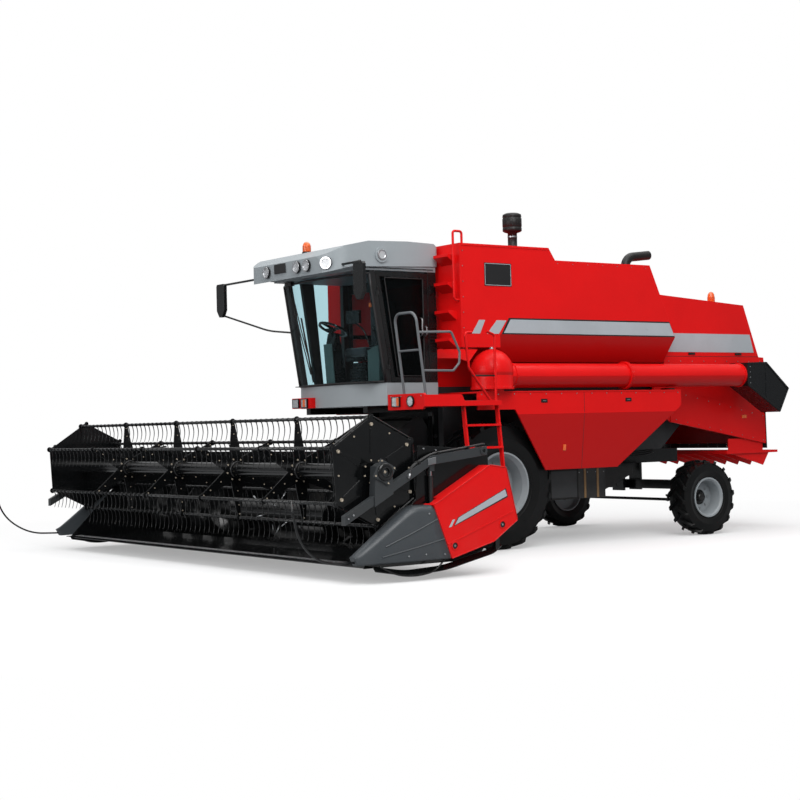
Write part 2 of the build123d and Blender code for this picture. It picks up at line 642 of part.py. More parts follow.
with BuildPart() as cab_frame:
    with BuildSketch(Plane.XY.offset(CAB_SILL_Z)):
        with BuildLine():
            Line((CAB_RIGHT, at(CAB_REAR)), (CAB_LEFT, at(CAB_REAR)))
            Line((CAB_LEFT, at(CAB_REAR)), (CAB_LEFT, at(PILLAR_LOW_Y)))
            ThreePointArc(
                (CAB_LEFT, at(PILLAR_LOW_Y)), (CAB_X, at(PILLAR_LOW_Y - SCREEN_BOW)),
                (CAB_RIGHT, at(PILLAR_LOW_Y)),
            )
            Line((CAB_RIGHT, at(PILLAR_LOW_Y)), (CAB_RIGHT, at(CAB_REAR)))
        make_face()
    extrude(amount=CAB_FLOOR_Z - CAB_SILL_Z)
    with Locations((CAB_X, at(CAB_REAR - 20), (CAB_FLOOR_Z + CAB_EAVES_Z) / 2)):
        Box(2 * CAB_HALF, 40, CAB_EAVES_Z - CAB_FLOOR_Z)
    with Locations((CAB_X, at(CAB_REAR - 20), REAR_WINDOW_Z)):
        Box(2 * REAR_WINDOW_HALF, 80, REAR_WINDOW_H, mode=Mode.SUBTRACT)
    with BuildSketch(Plane.YZ.offset(CAB_RIGHT + SIDE_GLASS_IN + GLASS_T + 1)):
        Polygon(*side([
            (PILLAR_LOW_Y + 200, CAB_FLOOR_Z), (PILLAR_HIGH_Y + 220, CAB_EAVES_Z),
            (PILLAR_HIGH_Y + 400, CAB_EAVES_Z), (PILLAR_LOW_Y + 310, CAB_FLOOR_Z),
        ]), align=None)
    extrude(amount=50)
    for s in BOTH_SIDES:
        x = CAB_X + s * (CAB_HALF - POST / 2)
        with BuildSketch(Plane.YZ.offset(x - POST / 2)):
            Polygon(*side([
                (PILLAR_LOW_Y, CAB_FLOOR_Z), (PILLAR_HIGH_Y, CAB_EAVES_Z),
                (PILLAR_HIGH_Y + POST, CAB_EAVES_Z),
                (PILLAR_LOW_Y + POST, CAB_FLOOR_Z),
            ]), align=None)
        extrude(amount=POST)
        with Locations((x, at(CAB_REAR - 60), (CAB_FLOOR_Z + CAB_EAVES_Z) / 2)):
            Box(POST, 120, CAB_EAVES_Z - CAB_FLOOR_Z)
    for share in HINGES:
        with BuildSketch(hinge_plane(share)):
            Circle(HINGE_R)
            with Locations((-HINGE_R / 2 - 3, -2 * HINGE_R)):
                Rectangle(HINGE_R + 6, 4 * HINGE_R)
        extrude(amount=HINGE_L)
        with BuildSketch(hinge_plane(share)):
            Circle(HINGE_R / 2)
        extrude(amount=2 * HINGE_L)
save(cab_frame, "cab_frame")

# Cab roof: deep moulded cap, widely rounded at its front corners in plan, on a core that
# fills the frame up to the posts.
ROOF_FRONT = -2200
ROOF_REAR = -640
ROOF_HALF = CAB_HALF + 20
ROOF_CORNER_R = 300
with BuildPart() as cab_roof:
    with BuildSketch(Plane.YZ.offset(CAB_X - ROOF_HALF)):
        Polygon(*side([
            (ROOF_FRONT + 20, 3330), (-1900, 3400), (ROOF_REAR, 3440), (ROOF_REAR, 3660),
            (ROOF_REAR - 70, 3712), (-1100, 3724), (-1660, 3708), (-1980, 3640), (ROOF_FRONT, 3530),
        ]), align=None)
    extrude(amount=2 * ROOF_HALF)
    with BuildSketch(Plane.XY.offset(3300)) as roof_plan:
        with Locations((CAB_X, at((ROOF_FRONT + ROOF_REAR) / 2))):
            Rectangle(2 * ROOF_HALF, ROOF_REAR - ROOF_FRONT)
        fillet(roof_plan.vertices().group_by(Axis.Y)[0], radius=ROOF_CORNER_R)
        fillet(roof_plan.vertices().group_by(Axis.Y)[-1], radius=60)
    extrude(amount=500, mode=Mode.INTERSECT)
    with BuildSketch(Plane.YZ.offset(CAB_X - CAB_HALF)):
        Polygon(*side([
            (PILLAR_HIGH_Y - SCREEN_BOW, CAB_EAVES_Z), (CAB_REAR, CAB_EAVES_Z), (CAB_REAR, 3500),
            (PILLAR_HIGH_Y - SCREEN_BOW, 3500),
        ]), align=None)
    extrude(amount=2 * CAB_HALF)
save(cab_roof, "cab_roof")

# Cab glass: bowed windscreen that leans out at the top, right side window, rear window.
with BuildPart() as cab_glass:
    with BuildSketch(Plane.XY.offset(CAB_FLOOR_Z + 1)):
        with BuildLine():
            ThreePointArc(
                (CAB_LEFT, at(PILLAR_LOW_Y - 1)), (CAB_X, at(PILLAR_LOW_Y - SCREEN_BOW)),
                (CAB_RIGHT, at(PILLAR_LOW_Y - 1)),
            )
            Line((CAB_RIGHT, at(PILLAR_LOW_Y - 1)), (CAB_RIGHT, at(PILLAR_LOW_Y - 1 - GLASS_T)))
            ThreePointArc(
                (CAB_RIGHT, at(PILLAR_LOW_Y - 1 - GLASS_T)), (CAB_X, at(PILLAR_LOW_Y - SCREEN_BOW - GLASS_T)),
                (CAB_LEFT, at(PILLAR_LOW_Y - 1 - GLASS_T)),
            )
            Line((CAB_LEFT, at(PILLAR_LOW_Y - 1 - GLASS_T)), (CAB_LEFT, at(PILLAR_LOW_Y - 1)))
        make_face()
    extrude(amount=CAB_EAVES_Z - CAB_FLOOR_Z - 2, dir=LEAN)
    with BuildSketch(Plane.YZ.offset(CAB_RIGHT + SIDE_GLASS_IN)):
        Polygon(*side([
            (PILLAR_LOW_Y + POST + 1, CAB_FLOOR_Z + 1), (PILLAR_HIGH_Y + POST + 1, CAB_EAVES_Z - 1),
            (CAB_REAR - 121, CAB_EAVES_Z - 1), (CAB_REAR - 121, CAB_FLOOR_Z + 1),
        ]), align=None)
    extrude(amount=GLASS_T)
    with Locations((CAB_X, at(CAB_REAR - 20), REAR_WINDOW_Z)):
        Box(2 * (REAR_WINDOW_HALF - GAP), GLASS_T, REAR_WINDOW_H - 2 * GAP)
save(cab_glass, "cab_glass")

# Cab door: a framed panel with its window opening, hinged on the front post.
DOOR_X = CAB_LEFT - DOOR_T
DOOR_FRAME = 55
DOOR_TOP_GAP = 16
DOOR_FRONT_LOW = PILLAR_LOW_Y + POST + 6
DOOR_FRONT_HIGH = PILLAR_HIGH_Y + POST + 6
DOOR_OUTLINE = [
    (DOOR_FRONT_LOW, CAB_FLOOR_Z + 6), (DOOR_FRONT_HIGH, CAB_EAVES_Z - DOOR_TOP_GAP),
    (CAB_REAR - 126, CAB_EAVES_Z - DOOR_TOP_GAP), (CAB_REAR - 126, CAB_FLOOR_Z + 6),
]
with BuildPart() as cab_door:
    with BuildSketch(Plane.YZ.offset(DOOR_X)):
        Polygon(*side(DOOR_OUTLINE), align=None)
        offset(amount=-DOOR_FRAME, mode=Mode.SUBTRACT)
    extrude(amount=DOOR_T)
    for share in HINGES:
        with BuildSketch(hinge_plane(share).offset(HINGE_L + GAP)):
            Circle(HINGE_R)
            with Locations((-HINGE_R / 2 - 3, 2 * HINGE_R)):
                Rectangle(HINGE_R + 6, 4 * HINGE_R)
        extrude(amount=HINGE_L)
        with BuildSketch(hinge_plane(share).offset(HINGE_L)):
            Circle(HINGE_R / 2 + SHAFT_GAP)
        extrude(amount=HINGE_L + 10, mode=Mode.SUBTRACT)
save(cab_door, "cab_door")
with BuildPart() as door_glass:
    with BuildSketch(Plane.YZ.offset(DOOR_X + 12)):
        Polygon(*side(DOOR_OUTLINE), align=None)
        offset(amount=-DOOR_FRAME - GAP, mode=Mode.REPLACE)
    extrude(amount=GLASS_T)
save(door_glass, "door_glass")

# Operator's seat on its pedestal, and the column with the wheel.
with BuildPart() as operator_seat:
    with Locations((CAB_X, at(-1000), CAB_FLOOR_Z + 200)):
        Box(320, 360, 400)
    with Locations((CAB_X, at(-1010), CAB_FLOOR_Z + 460)):
        Box(500, 480, 120)
    with Locations((CAB_X, at(-800), CAB_FLOOR_Z + 780)):
        Box(480, 110, 620)
save(operator_seat, "operator_seat")
COLUMN_X = CAB_X - 130
COLUMN_TOP_Z = CAB_FLOOR_Z + 640
WHEEL_R = 190
WHEEL_TILT = 25
with BuildPart() as cab_controls:
    with BuildSketch(Plane.YZ.offset(COLUMN_X - 90)):
        Polygon(*side([
            (-1330, CAB_FLOOR_Z), (-1470, CAB_FLOOR_Z), (-1505, COLUMN_TOP_Z - 120), (-1480, COLUMN_TOP_Z),
            (-1430, COLUMN_TOP_Z), (-1400, COLUMN_TOP_Z - 160),
        ]), align=None)
    extrude(amount=180)
    tilt = math.radians(WHEEL_TILT)
    wheel_plane = Plane(
        origin=(COLUMN_X, at(-1462), COLUMN_TOP_Z + 45), x_dir=(1, 0, 0),
        z_dir=(0, math.sin(tilt), math.cos(tilt)),
    )
    with BuildSketch(wheel_plane):
        Circle(WHEEL_R)
        Circle(WHEEL_R - 26, mode=Mode.SUBTRACT)
        Rectangle(2 * WHEEL_R - 30, 26)
        with Locations((0, -WHEEL_R / 2 + 10)):
            Rectangle(26, WHEEL_R - 20)
        Circle(44)
    extrude(amount=24)
    with BuildSketch(wheel_plane):
        Circle(24)
    extrude(amount=-80)
save(cab_controls, "cab_controls")

# Platform beside the cab: deck with its folded front and side skirts, the landing behind
# the ladder, the ladder, the twin grab rails, the wedge steps on the front of the tank
# with the rail above them, and the lamp box under the windscreen.
PLATFORM_OUT = 1760
PLATFORM_FRONT = -1420
PLATFORM_REAR = -490
PLATFORM_Z = 1780
PLATFORM_T = 60
SKIRT_TOP = 1904
SKIRT_T = 30
LANDING_IN = SHIELD_X + 15
LADDER_X = 1640
LADDER_FOOT_X = 1800
LADDER_FOOT_Z = 450
LADDER_Y = (-800, -300)
GRAB_X = PLATFORM_OUT - 25
GRAB_R = 15
STEP_X = 1230
STEP_W = 280
STEP_DEPTH = 120
STEP_TOP = 3550
STEP_PITCH = 333
STEP_COUNT = 4


def tube(points, radius, bend):
    """Round bar swept along points given as (x, distance behind the front axle, height)."""
    path = [Vector(x, at(y), z) for x, y, z in points]
    with BuildPart() as bar:
        with BuildLine():
            FilletPolyline(*path, radius=bend)
        with BuildSketch(Plane(origin=path[0], z_dir=path[1] - path[0])):
            Circle(radius)
        sweep()
    return bar.part


GRAB_FOOT_Z = PLATFORM_Z + PLATFORM_T / 2 - 2
grab_rails = [
    tube([
        (GRAB_X, -443, GRAB_FOOT_Z), (GRAB_X, -750, 2190), (GRAB_X, -800, 2604), (GRAB_X, -700, 2604),
    ], GRAB_R, 40),
    tube([(GRAB_X, -360, GRAB_FOOT_Z), (GRAB_X, -360, 2580), (GRAB_X, -480, 2624)], GRAB_R, 40),
    tube([
        (1420, TANK_FRONT - GAP, 3010), (1420, TANK_FRONT - 70, 3010), (1420, TANK_FRONT - 70, 3830),
        (1420, TANK_FRONT + 60, 3830), (1420, TANK_FRONT + 60, DECK_Z + GAP),
    ], GRAB_R, 32),
]
with BuildPart() as platform:
    deck_y = (PLATFORM_FRONT + PLATFORM_REAR) / 2
    with Locations(((CAB_LEFT + GAP + PLATFORM_OUT) / 2, at(deck_y), PLATFORM_Z)):
        Box(PLATFORM_OUT - CAB_LEFT - GAP, PLATFORM_REAR - PLATFORM_FRONT, PLATFORM_T)
    with Locations(((LANDING_IN + PLATFORM_OUT) / 2, at((PLATFORM_REAR + LADDER_Y[1]) / 2), PLATFORM_Z)):
        Box(PLATFORM_OUT - LANDING_IN, LADDER_Y[1] - PLATFORM_REAR + 20, PLATFORM_T)
    with BuildSketch(Plane.XZ.offset(-at(PLATFORM_FRONT + SKIRT_T))):
        Polygon(
            (CAB_LEFT + GAP, PLATFORM_Z - 60), (PLATFORM_OUT - 40, PLATFORM_Z - 60),
            (PLATFORM_OUT, PLATFORM_Z - 20), (PLATFORM_OUT, SKIRT_TOP - 20), (PLATFORM_OUT - 20, SKIRT_TOP),
            (CAB_LEFT + GAP, SKIRT_TOP), align=None,
        )
    extrude(amount=SKIRT_T)
    with BuildSketch(Plane.YZ.offset(PLATFORM_OUT - SKIRT_T)):
        Polygon(*side([
            (PLATFORM_FRONT + 10, PLATFORM_Z), (PLATFORM_FRONT + 10, SKIRT_TOP - 20),
            (LADDER_Y[0] - 80, SKIRT_TOP - 20), (LADDER_Y[0] - 40, PLATFORM_Z + 30),
            (LADDER_Y[0] - 40, PLATFORM_Z),
        ]), align=None)
    extrude(amount=SKIRT_T)
    for y in LADDER_Y:
        with BuildSketch(Plane.XZ.offset(-at(y) - 10)):
            Polygon(
                (LADDER_X, PLATFORM_Z), (LADDER_X + 60, PLATFORM_Z), (LADDER_FOOT_X + 60, LADDER_FOOT_Z),
                (LADDER_FOOT_X, LADDER_FOOT_Z), align=None,
            )
        extrude(amount=20)
    for i in range(5):
        z = PLATFORM_Z - 260 - 265 * i
        x = LADDER_X + (LADDER_FOOT_X - LADDER_X) * (PLATFORM_Z - z) / (PLATFORM_Z - LADDER_FOOT_Z) + 30
        with Locations((x, at(sum(LADDER_Y) / 2), z)):
            Box(100, LADDER_Y[1] - LADDER_Y[0], 22)
    add(grab_rails)
    for i in range(STEP_COUNT):
        z = STEP_TOP - STEP_PITCH * i
        with BuildSketch(Plane.YZ.offset(STEP_X - STEP_W / 2)):
            Polygon(*side([
                (TANK_FRONT - GAP, z), (TANK_FRONT - STEP_DEPTH, z + 12), (TANK_FRONT - STEP_DEPTH, z - 22),
                (TANK_FRONT - GAP, z - 110),
            ]), align=None)
        extrude(amount=STEP_W)
    with Locations((CAB_X - 650, at(PILLAR_LOW_Y - 110), CAB_SILL_Z + 66)):
        Box(440, 160, 130)
    add(cab_frame.part, mode=Mode.SUBTRACT)
save(platform, "platform")

# Guard rails: a hoop over the front edge of the platform that leans forward with the
# windscreen, with its middle bar, and a loop to the rear from its outer post.
RAIL_TUBE_R = 16
RAIL_IN_X = CAB_LEFT + 260
RAIL_OUT_X = PLATFORM_OUT - 50
RAIL_FOOT_Y = PLATFORM_FRONT + SKIRT_T + RAIL_TUBE_R + 20
RAIL_FOOT_Z = PLATFORM_Z + PLATFORM_T / 2 + GAP
RAIL_TOP = 2830
RAIL_LEAN = 0.126


def rail_y(z):
    """Distance of the leaning hoop behind the front axle at this height."""
    return RAIL_FOOT_Y - (z - RAIL_FOOT_Z) * RAIL_LEAN


rail_bars = [
    tube([
        (RAIL_IN_X, RAIL_FOOT_Y, RAIL_FOOT_Z), (RAIL_IN_X, rail_y(RAIL_TOP), RAIL_TOP),
        (RAIL_OUT_X, rail_y(RAIL_TOP), RAIL_TOP), (RAIL_OUT_X, RAIL_FOOT_Y, RAIL_FOOT_Z),
    ], RAIL_TUBE_R, 110),
    tube([
        (RAIL_OUT_X, rail_y(2600), 2600), (RAIL_OUT_X, -980, 2612), (RAIL_OUT_X, -862, 2380),
        (RAIL_OUT_X, -870, 2250), (RAIL_OUT_X, -960, 2161), (RAIL_OUT_X, rail_y(2161), 2161),
    ], RAIL_TUBE_R - 2, 40),
]
with BuildPart() as handrails:
    add(rail_bars)
    with BuildSketch(Plane.YZ.offset(RAIL_IN_X)):
        with Locations((at(rail_y(2400)), 2400)):
            Circle(RAIL_TUBE_R - 3)
    extrude(amount=RAIL_OUT_X - RAIL_IN_X)
    add(platform.part, mode=Mode.SUBTRACT)
save(handrails, "handrails")

# Mirrors on their arms at both front corners of the roof.
MIRROR_ARM_Z = 3420
lower_arm = tube([
    (CAB_RIGHT - GAP, PILLAR_LOW_Y + POST / 2 - 111, 2750), (CAB_RIGHT - 300, -1700, 2790),
    (-1800, -2010, 3020),
], 13, 60)
with BuildPart() as mirrors:
    with Locations((-1850, at(-2010), 3220), (1380, at(-2010), 3200)):
        Box(210, 60, 440)
    with BuildSketch(Plane.YZ.offset(-1850)):
        with Locations((at(-2010), MIRROR_ARM_Z)):
            Circle(14)
    extrude(amount=1850 + 1380)
    add(cab_roof.part, mode=Mode.SUBTRACT)
    with Locations((CAB_X, at(-2010), MIRROR_ARM_Z)):
        Box(2 * CAB_HALF - 100, 200, 100, mode=Mode.SUBTRACT)
    add(lower_arm)
    add(cab_frame.part, mode=Mode.SUBTRACT)
save(mirrors, "mirrors")

# Lamps: four round ones in the visor of the roof, the outer one turned outwards, one on
# the side of the roof, and the driving lamps on the skirt of the platform and on the
# lamp box.
LAMP_R = 58
LAMP_PROUD = 18
VISOR_LAMP_Z = 3440
CORNER_LAMP_TURN = 32
with BuildPart() as lamps:
    with BuildSketch(Plane.XZ.offset(-at(ROOF_FRONT + 60))):
        with Locations((-360, VISOR_LAMP_Z), (340, VISOR_LAMP_Z), (560, VISOR_LAMP_Z)):
            Circle(LAMP_R)
    extrude(amount=60 + LAMP_PROUD)
    turn = math.radians(CORNER_LAMP_TURN)
    corner = Plane(
        origin=(CAB_X + ROOF_HALF - ROOF_CORNER_R, at(ROOF_FRONT + ROOF_CORNER_R), VISOR_LAMP_Z),
        z_dir=(math.sin(turn), -math.cos(turn), 0),
    )
    with BuildSketch(corner.offset(ROOF_CORNER_R - 60)):
        Circle(LAMP_R)
    extrude(amount=60 + LAMP_PROUD)
    with BuildSketch(Plane.YZ.offset(CAB_X + ROOF_HALF - 20)):
        with Locations((at(-1480), 3550)):
            Circle(LAMP_R - 8)
    extrude(amount=20 + LAMP_PROUD)
    add(cab_roof.part, mode=Mode.SUBTRACT)
    with BuildSketch(Plane.XZ.offset(-at(PLATFORM_FRONT) + GAP)):
        with Locations((CAB_LEFT + 180, PLATFORM_Z + 35)):
            Rectangle(150, 110)
        with Locations((CAB_LEFT + 470, PLATFORM_Z + 35)):
            Circle(LAMP_R)
    extrude(amount=LAMP_PROUD)
    with BuildSketch(Plane.XZ.offset(-at(PILLAR_LOW_Y - 190) + GAP)):
        with Locations((CAB_X - 760, CAB_SILL_Z + 66), (CAB_X - 560, CAB_SILL_Z + 66)):
            Rectangle(140, 105)
    extrude(amount=LAMP_PROUD)
save(lamps, "lamps")

# Air intake: pipe with its pre-cleaner, standing on the tank's front deck.
INTAKE_X = 900
INTAKE_Y = 640
INTAKE_TOP = 4180
with BuildPart() as air_intake:
    with BuildSketch(Plane.XY.offset(DECK_Z)):
        with Locations((INTAKE_X, at(INTAKE_Y))):
            Circle(58)
    extrude(amount=300)
    with BuildSketch(Plane.XY.offset(INTAKE_TOP - 240)):
        with Locations((INTAKE_X, at(INTAKE_Y))):
            Circle(122)
    extrude(amount=240)
save(air_intake, "air_intake")

# Beacons on the cab roof and on the engine hood.
BEACON_R = 60
BEACON_H = 150
with BuildPart() as beacons:
    with BuildSketch(Plane.XY.offset(3600)):
        with Locations((0, at(-1850))):
            Circle(BEACON_R)
    extrude(amount=50 + BEACON_H)
    with BuildSketch(Plane.XY.offset(3090)):
        with Locations((900, at(4170))):
            Circle(BEACON_R)
    extrude(amount=50 + BEACON_H)
    add(cab_roof.part, mode=Mode.SUBTRACT)
    add(engine_hood.part, mode=Mode.SUBTRACT)
save(beacons, "beacons")

# Fixed pot of the unloading auger, bolted on the shelf of the left shield.
POT_LOW = SHIELD_TOP
POT_H = 22
with BuildPart() as auger_pot:
    with BuildSketch(Plane.XY.offset(POT_LOW)):
        with Locations((AUGER_X - 20, at(AUGER_PIVOT_Y))):
            Circle(150)
    extrude(amount=POT_H)
save(auger_pot, "auger_pot")

# Unloading auger: turning elbow and the long tube, with its rubber spout at the end.
with BuildPart() as unload_auger:
    with BuildSketch(Plane(origin=(AUGER_X, at(AUGER_PIVOT_Y), 0), x_dir=(1, 0, 0), z_dir=(0, -1, 0))):
        with BuildLine():
            foot_z = POT_LOW + POT_H + GAP
            Polyline((0, foot_z), (ELBOW_R, foot_z), (ELBOW_R, AUGER_Z))
            ThreePointArc(
                (ELBOW_R, AUGER_Z), (ELBOW_R * 0.74, AUGER_Z + (ELBOW_TOP - AUGER_Z) * 0.74), (0, ELBOW_TOP),
            )
            Line((0, ELBOW_TOP), (0, foot_z))
        make_face()
    revolve(axis=Axis((AUGER_X, at(AUGER_PIVOT_Y), 0), (0, 0, 1)))
    with BuildSketch(Plane.XZ.offset(-at(AUGER_PIVOT_Y))):
        with Locations((AUGER_X, AUGER_Z)):
            Circle(AUGER_R)
    extrude(amount=-(AUGER_TUBE_END - AUGER_PIVOT_Y))
    with BuildSketch(Plane.XZ.offset(-at(AUGER_TUBE_END - 24))):
        with Locations((AUGER_X, AUGER_Z)):
            Circle(AUGER_R + 12)
    extrude(amount=-24)
save(unload_auger, "unload_auger")
SPOUT_HALF = 165
SPOUT_WALL = 14
SPOUT_FRONT = AUGER_TUBE_END + GAP
with BuildPart() as auger_spout:
    with BuildSketch(Plane.YZ.offset(AUGER_X - SPOUT_HALF)):
        Polygon(*side([
            (SPOUT_FRONT, 2275), (4450, 2285), (4890, 1925), (4700, 1600), (SPOUT_FRONT, 1960),
        ]), align=None)
    extrude(amount=2 * SPOUT_HALF)
    with BuildSketch(Plane.YZ.offset(AUGER_X - SPOUT_HALF + SPOUT_WALL)):
        Polygon(*side([
            (SPOUT_FRONT + 20, 2261), (4445, 2271), (4920, 1880), (4720, 1560), (4680, 1632),
            (SPOUT_FRONT + 20, 1974),
        ]), align=None)
    extrude(amount=2 * (SPOUT_HALF - SPOUT_WALL), mode=Mode.SUBTRACT)
save(auger_spout, "auger_spout")

# Feeder house: sloped box from the header opening up to its hinge, with its open mouth,
# the hinge stubs in the cab posts and the lugs of the lift cylinders.
OPENING_LOW = 340
OPENING_HIGH = 950
with BuildPart() as feeder_house:
    with BuildSketch(across(FEEDER_HALF)):
        Polygon(*side([
            (HEADER_BACK, OPENING_LOW - 20), (HEADER_BACK, OPENING_HIGH + 20), (-660, 1650), (-590, 1640),
            (BODY_FRONT - 18, 1420), (BODY_FRONT - 18, 1150), (-700, 1040),
        ]), align=None)
    extrude(amount=2 * FEEDER_HALF)
    with BuildSketch(across(FEEDER_HALF - 60)):
        Polygon(*side([
            (HEADER_BACK - 1, OPENING_LOW), (HEADER_BACK - 1, OPENING_HIGH),
            (HEADER_BACK + MOUTH_DEPTH, OPENING_HIGH + 150), (HEADER_BACK + MOUTH_DEPTH, OPENING_LOW + 190),
        ]), align=None)
    extrude(amount=2 * (FEEDER_HALF - 60), mode=Mode.SUBTRACT)
    with BuildSketch(across(RAIL_X + RAIL_W / 2 - 5)):
        with Locations((at(CAB_POST_Y), FEEDER_PIVOT_Z)):
            Circle(FEEDER_PIVOT_R)
    extrude(amount=2 * (RAIL_X + RAIL_W / 2 - 5))
    for s in BOTH_SIDES:
        with BuildSketch(Plane.YZ.offset(s * LIFT_X - LIFT_LUG_IN - LIFT_LUG_T)):
            Polygon(*side([
                (LIFT_EYE_Y - 45, LIFT_EYE_Z - 35), (LIFT_EYE_Y - 45, LIFT_EYE_Z + 220),
                (LIFT_EYE_Y + 45, LIFT_EYE_Z + 260), (LIFT_EYE_Y + 45, LIFT_EYE_Z - 35),
            ]), align=None)
        extrude(amount=LIFT_LUG_T)
save(feeder_house, "feeder_house")

# Header ends: outline sheets with the pins of the reel arms and of the reel cylinders.
END_SHEET = [
    (-3470, FLOOR_Z + 20), (-2830, 800), (-2790, 1335), (HEADER_BACK, HEADER_TOP),
    (HEADER_BACK, FLOOR_Z + 200), (-2080, FLOOR_Z), (-3470, FLOOR_Z),
]
GUARD_ROOT_Y = -3440
GUARD_TIP_Y = -3590
GUARD_T = 12
GUARD_TOP = KNIFE_Z - 5 - GAP
GUARD_W = 30
INNER_HALF = HEADER_HALF - SHEET_T
KNIFE_HALF = KNIFE_SECTIONS * KNIFE_PITCH / 2
with BuildPart() as header_ends:
    for s in BOTH_SIDES:
        with BuildSketch(Plane.YZ.offset(s * HEADER_HALF)):
            Polygon(*side(END_SHEET), align=None)
        extrude(amount=-s * SHEET_T)
        with BuildSketch(Plane.YZ.offset(s * HEADER_HALF)):
            with Locations((at(ARM_PIVOT_Y), ARM_PIVOT_Z)):
                Circle(ARM_PIN_R)
        extrude(amount=s * (ARM_X - HEADER_HALF + ARM_W / 2 + 10))
        with BuildSketch(Plane.YZ.offset(s * HEADER_HALF)):
            with Locations((at(REEL_LIFT_Y), REEL_LIFT_FOOT_Z)):
                Circle(REEL_LIFT_PIN_R)
        extrude(amount=s * (REEL_LIFT_X - HEADER_HALF + REEL_LIFT_BARREL_R))
save(header_ends, "header_ends")

# Header frame between the ends: back sheet, floor and square top tube, and the bar with
# the row of knife guards on the front edge of the floor.
TROUGH_HALF = INNER_HALF - GAP
with BuildPart() as header_frame:
    with BuildSketch(across(TROUGH_HALF)):
        Polygon(*side([
            (GUARD_ROOT_Y, FLOOR_Z), (GUARD_ROOT_Y, GUARD_TOP - GUARD_T),
            (GUARD_ROOT_Y + 60, GUARD_TOP - GUARD_T), (GUARD_ROOT_Y + 90, FLOOR_Z + 12),
            (-2600, FLOOR_Z + 12), (-2500, FLOOR_Z + 60),
            (HEADER_AUGER_Y + 60, FLOOR_Z + 72), (HEADER_AUGER_Y + 200, FLOOR_Z + 140),
            (HEADER_BACK - 30, FLOOR_Z + 300), (HEADER_BACK - 30, HEADER_TOP - 160),
            (HEADER_BACK, HEADER_TOP - 160), (HEADER_BACK, FLOOR_Z + 220), (-2060, FLOOR_Z + 50),
            (-2060, FLOOR_Z),
        ]), align=None)
    extrude(amount=2 * TROUGH_HALF)
    with Locations((0, at(HEADER_BACK - 75), HEADER_TOP - 90)):
        Box(2 * TROUGH_HALF, 150, 150)
    with Locations((0, at(HEADER_BACK - 15), (OPENING_LOW + OPENING_HIGH) / 2)):
        Box(2 * FEEDER_HALF - 120, 120, OPENING_HIGH - OPENING_LOW, mode=Mode.SUBTRACT)
    guard_line = [(-TROUGH_HALF, at(GUARD_ROOT_Y + 55)), (TROUGH_HALF, at(GUARD_ROOT_Y + 55))]
    for i in reversed(range(KNIFE_SECTIONS + 1)):
        x = i * KNIFE_PITCH - KNIFE_HALF
        guard_line += [
            (x + GUARD_W / 2, at(GUARD_ROOT_Y)), (x, at(GUARD_TIP_Y)), (x - GUARD_W / 2, at(GUARD_ROOT_Y)),
        ]
    with BuildSketch(Plane.XY.offset(GUARD_TOP)):
        Polygon(*guard_line, align=None)
    extrude(amount=GAP - GUARD_T)
save(header_frame, "header_frame")

# Red covers over the drives at both header ends, slotted inside for the reel cylinders.
COVER_OUT = HEADER_HALF + 180
COVER_FRONT = [(-2530, 200), (-2740, 742)]
CYLINDER_SLOT_W = REEL_LIFT_X + REEL_LIFT_BARREL_R + 10 - HEADER_HALF
with BuildPart() as end_covers:
    for s in BOTH_SIDES:
        with BuildSketch(Plane.YZ.offset(s * (HEADER_HALF + GAP))):
            rear_edge = [(-2020, 1114), (-1810, 1082), (-1675, 540), (-1985, 340)]
            Polygon(*side(COVER_FRONT + rear_edge), align=None)
        extrude(amount=s * (COVER_OUT - HEADER_HALF - GAP))
        with Locations((s * (HEADER_HALF + CYLINDER_SLOT_W / 2), at(REEL_LIFT_Y), 700)):
            Box(CYLINDER_SLOT_W, 100, 500, mode=Mode.SUBTRACT)
save(end_covers, "end_covers")

# Dividers: pointed noses in front of the covers, slotted for the reel cylinders, with
# the curved guide rods.
ROD_R = 11
ROD_X = HEADER_HALF + 50
ROD_FRONT = -FRONT_REACH + ROD_R
NOSE_GAP = 5
guide_rods = [
    tube([
        (s * ROD_X, -3570, 222), (s * (ROD_X + 30), -4020, 240), (s * (ROD_X + 140), -4330, 470),
        (s * (ROD_X + 190), ROD_FRONT, 870),
    ], ROD_R, 260)
    for s in BOTH_SIDES
]
with BuildPart() as dividers:
    for s in BOTH_SIDES:
        with BuildSketch(Plane.YZ.offset(s * (HEADER_HALF + GAP))):
            Polygon(*side([
                (-3600, 190), (-3640, 272), (-2975, 748), (COVER_FRONT[1][0] - NOSE_GAP, COVER_FRONT[1][1]),
                (COVER_FRONT[0][0] - NOSE_GAP, COVER_FRONT[0][1]),
            ]), align=None)
        extrude(amount=s * (COVER_OUT - HEADER_HALF - GAP))
        with Locations((s * (HEADER_HALF + CYLINDER_SLOT_W / 2), at(REEL_LIFT_Y), 700)):
            Box(CYLINDER_SLOT_W, 100, 500, mode=Mode.SUBTRACT)
    with BuildSketch(Plane.XY.offset(100)):
        for s in BOTH_SIDES:
            Polygon(
                (s * HEADER_HALF, at(-3700)), (s * (HEADER_HALF + 85), at(-3700)),
                (s * (HEADER_HALF + 105), at(-3560)), (s * COVER_OUT, at(-2950)),
                (s * COVER_OUT, at(-2400)), (s * HEADER_HALF, at(-2400)), align=None,
            )
    extrude(amount=800, mode=Mode.INTERSECT)
    add(guide_rods)
save(dividers, "dividers")

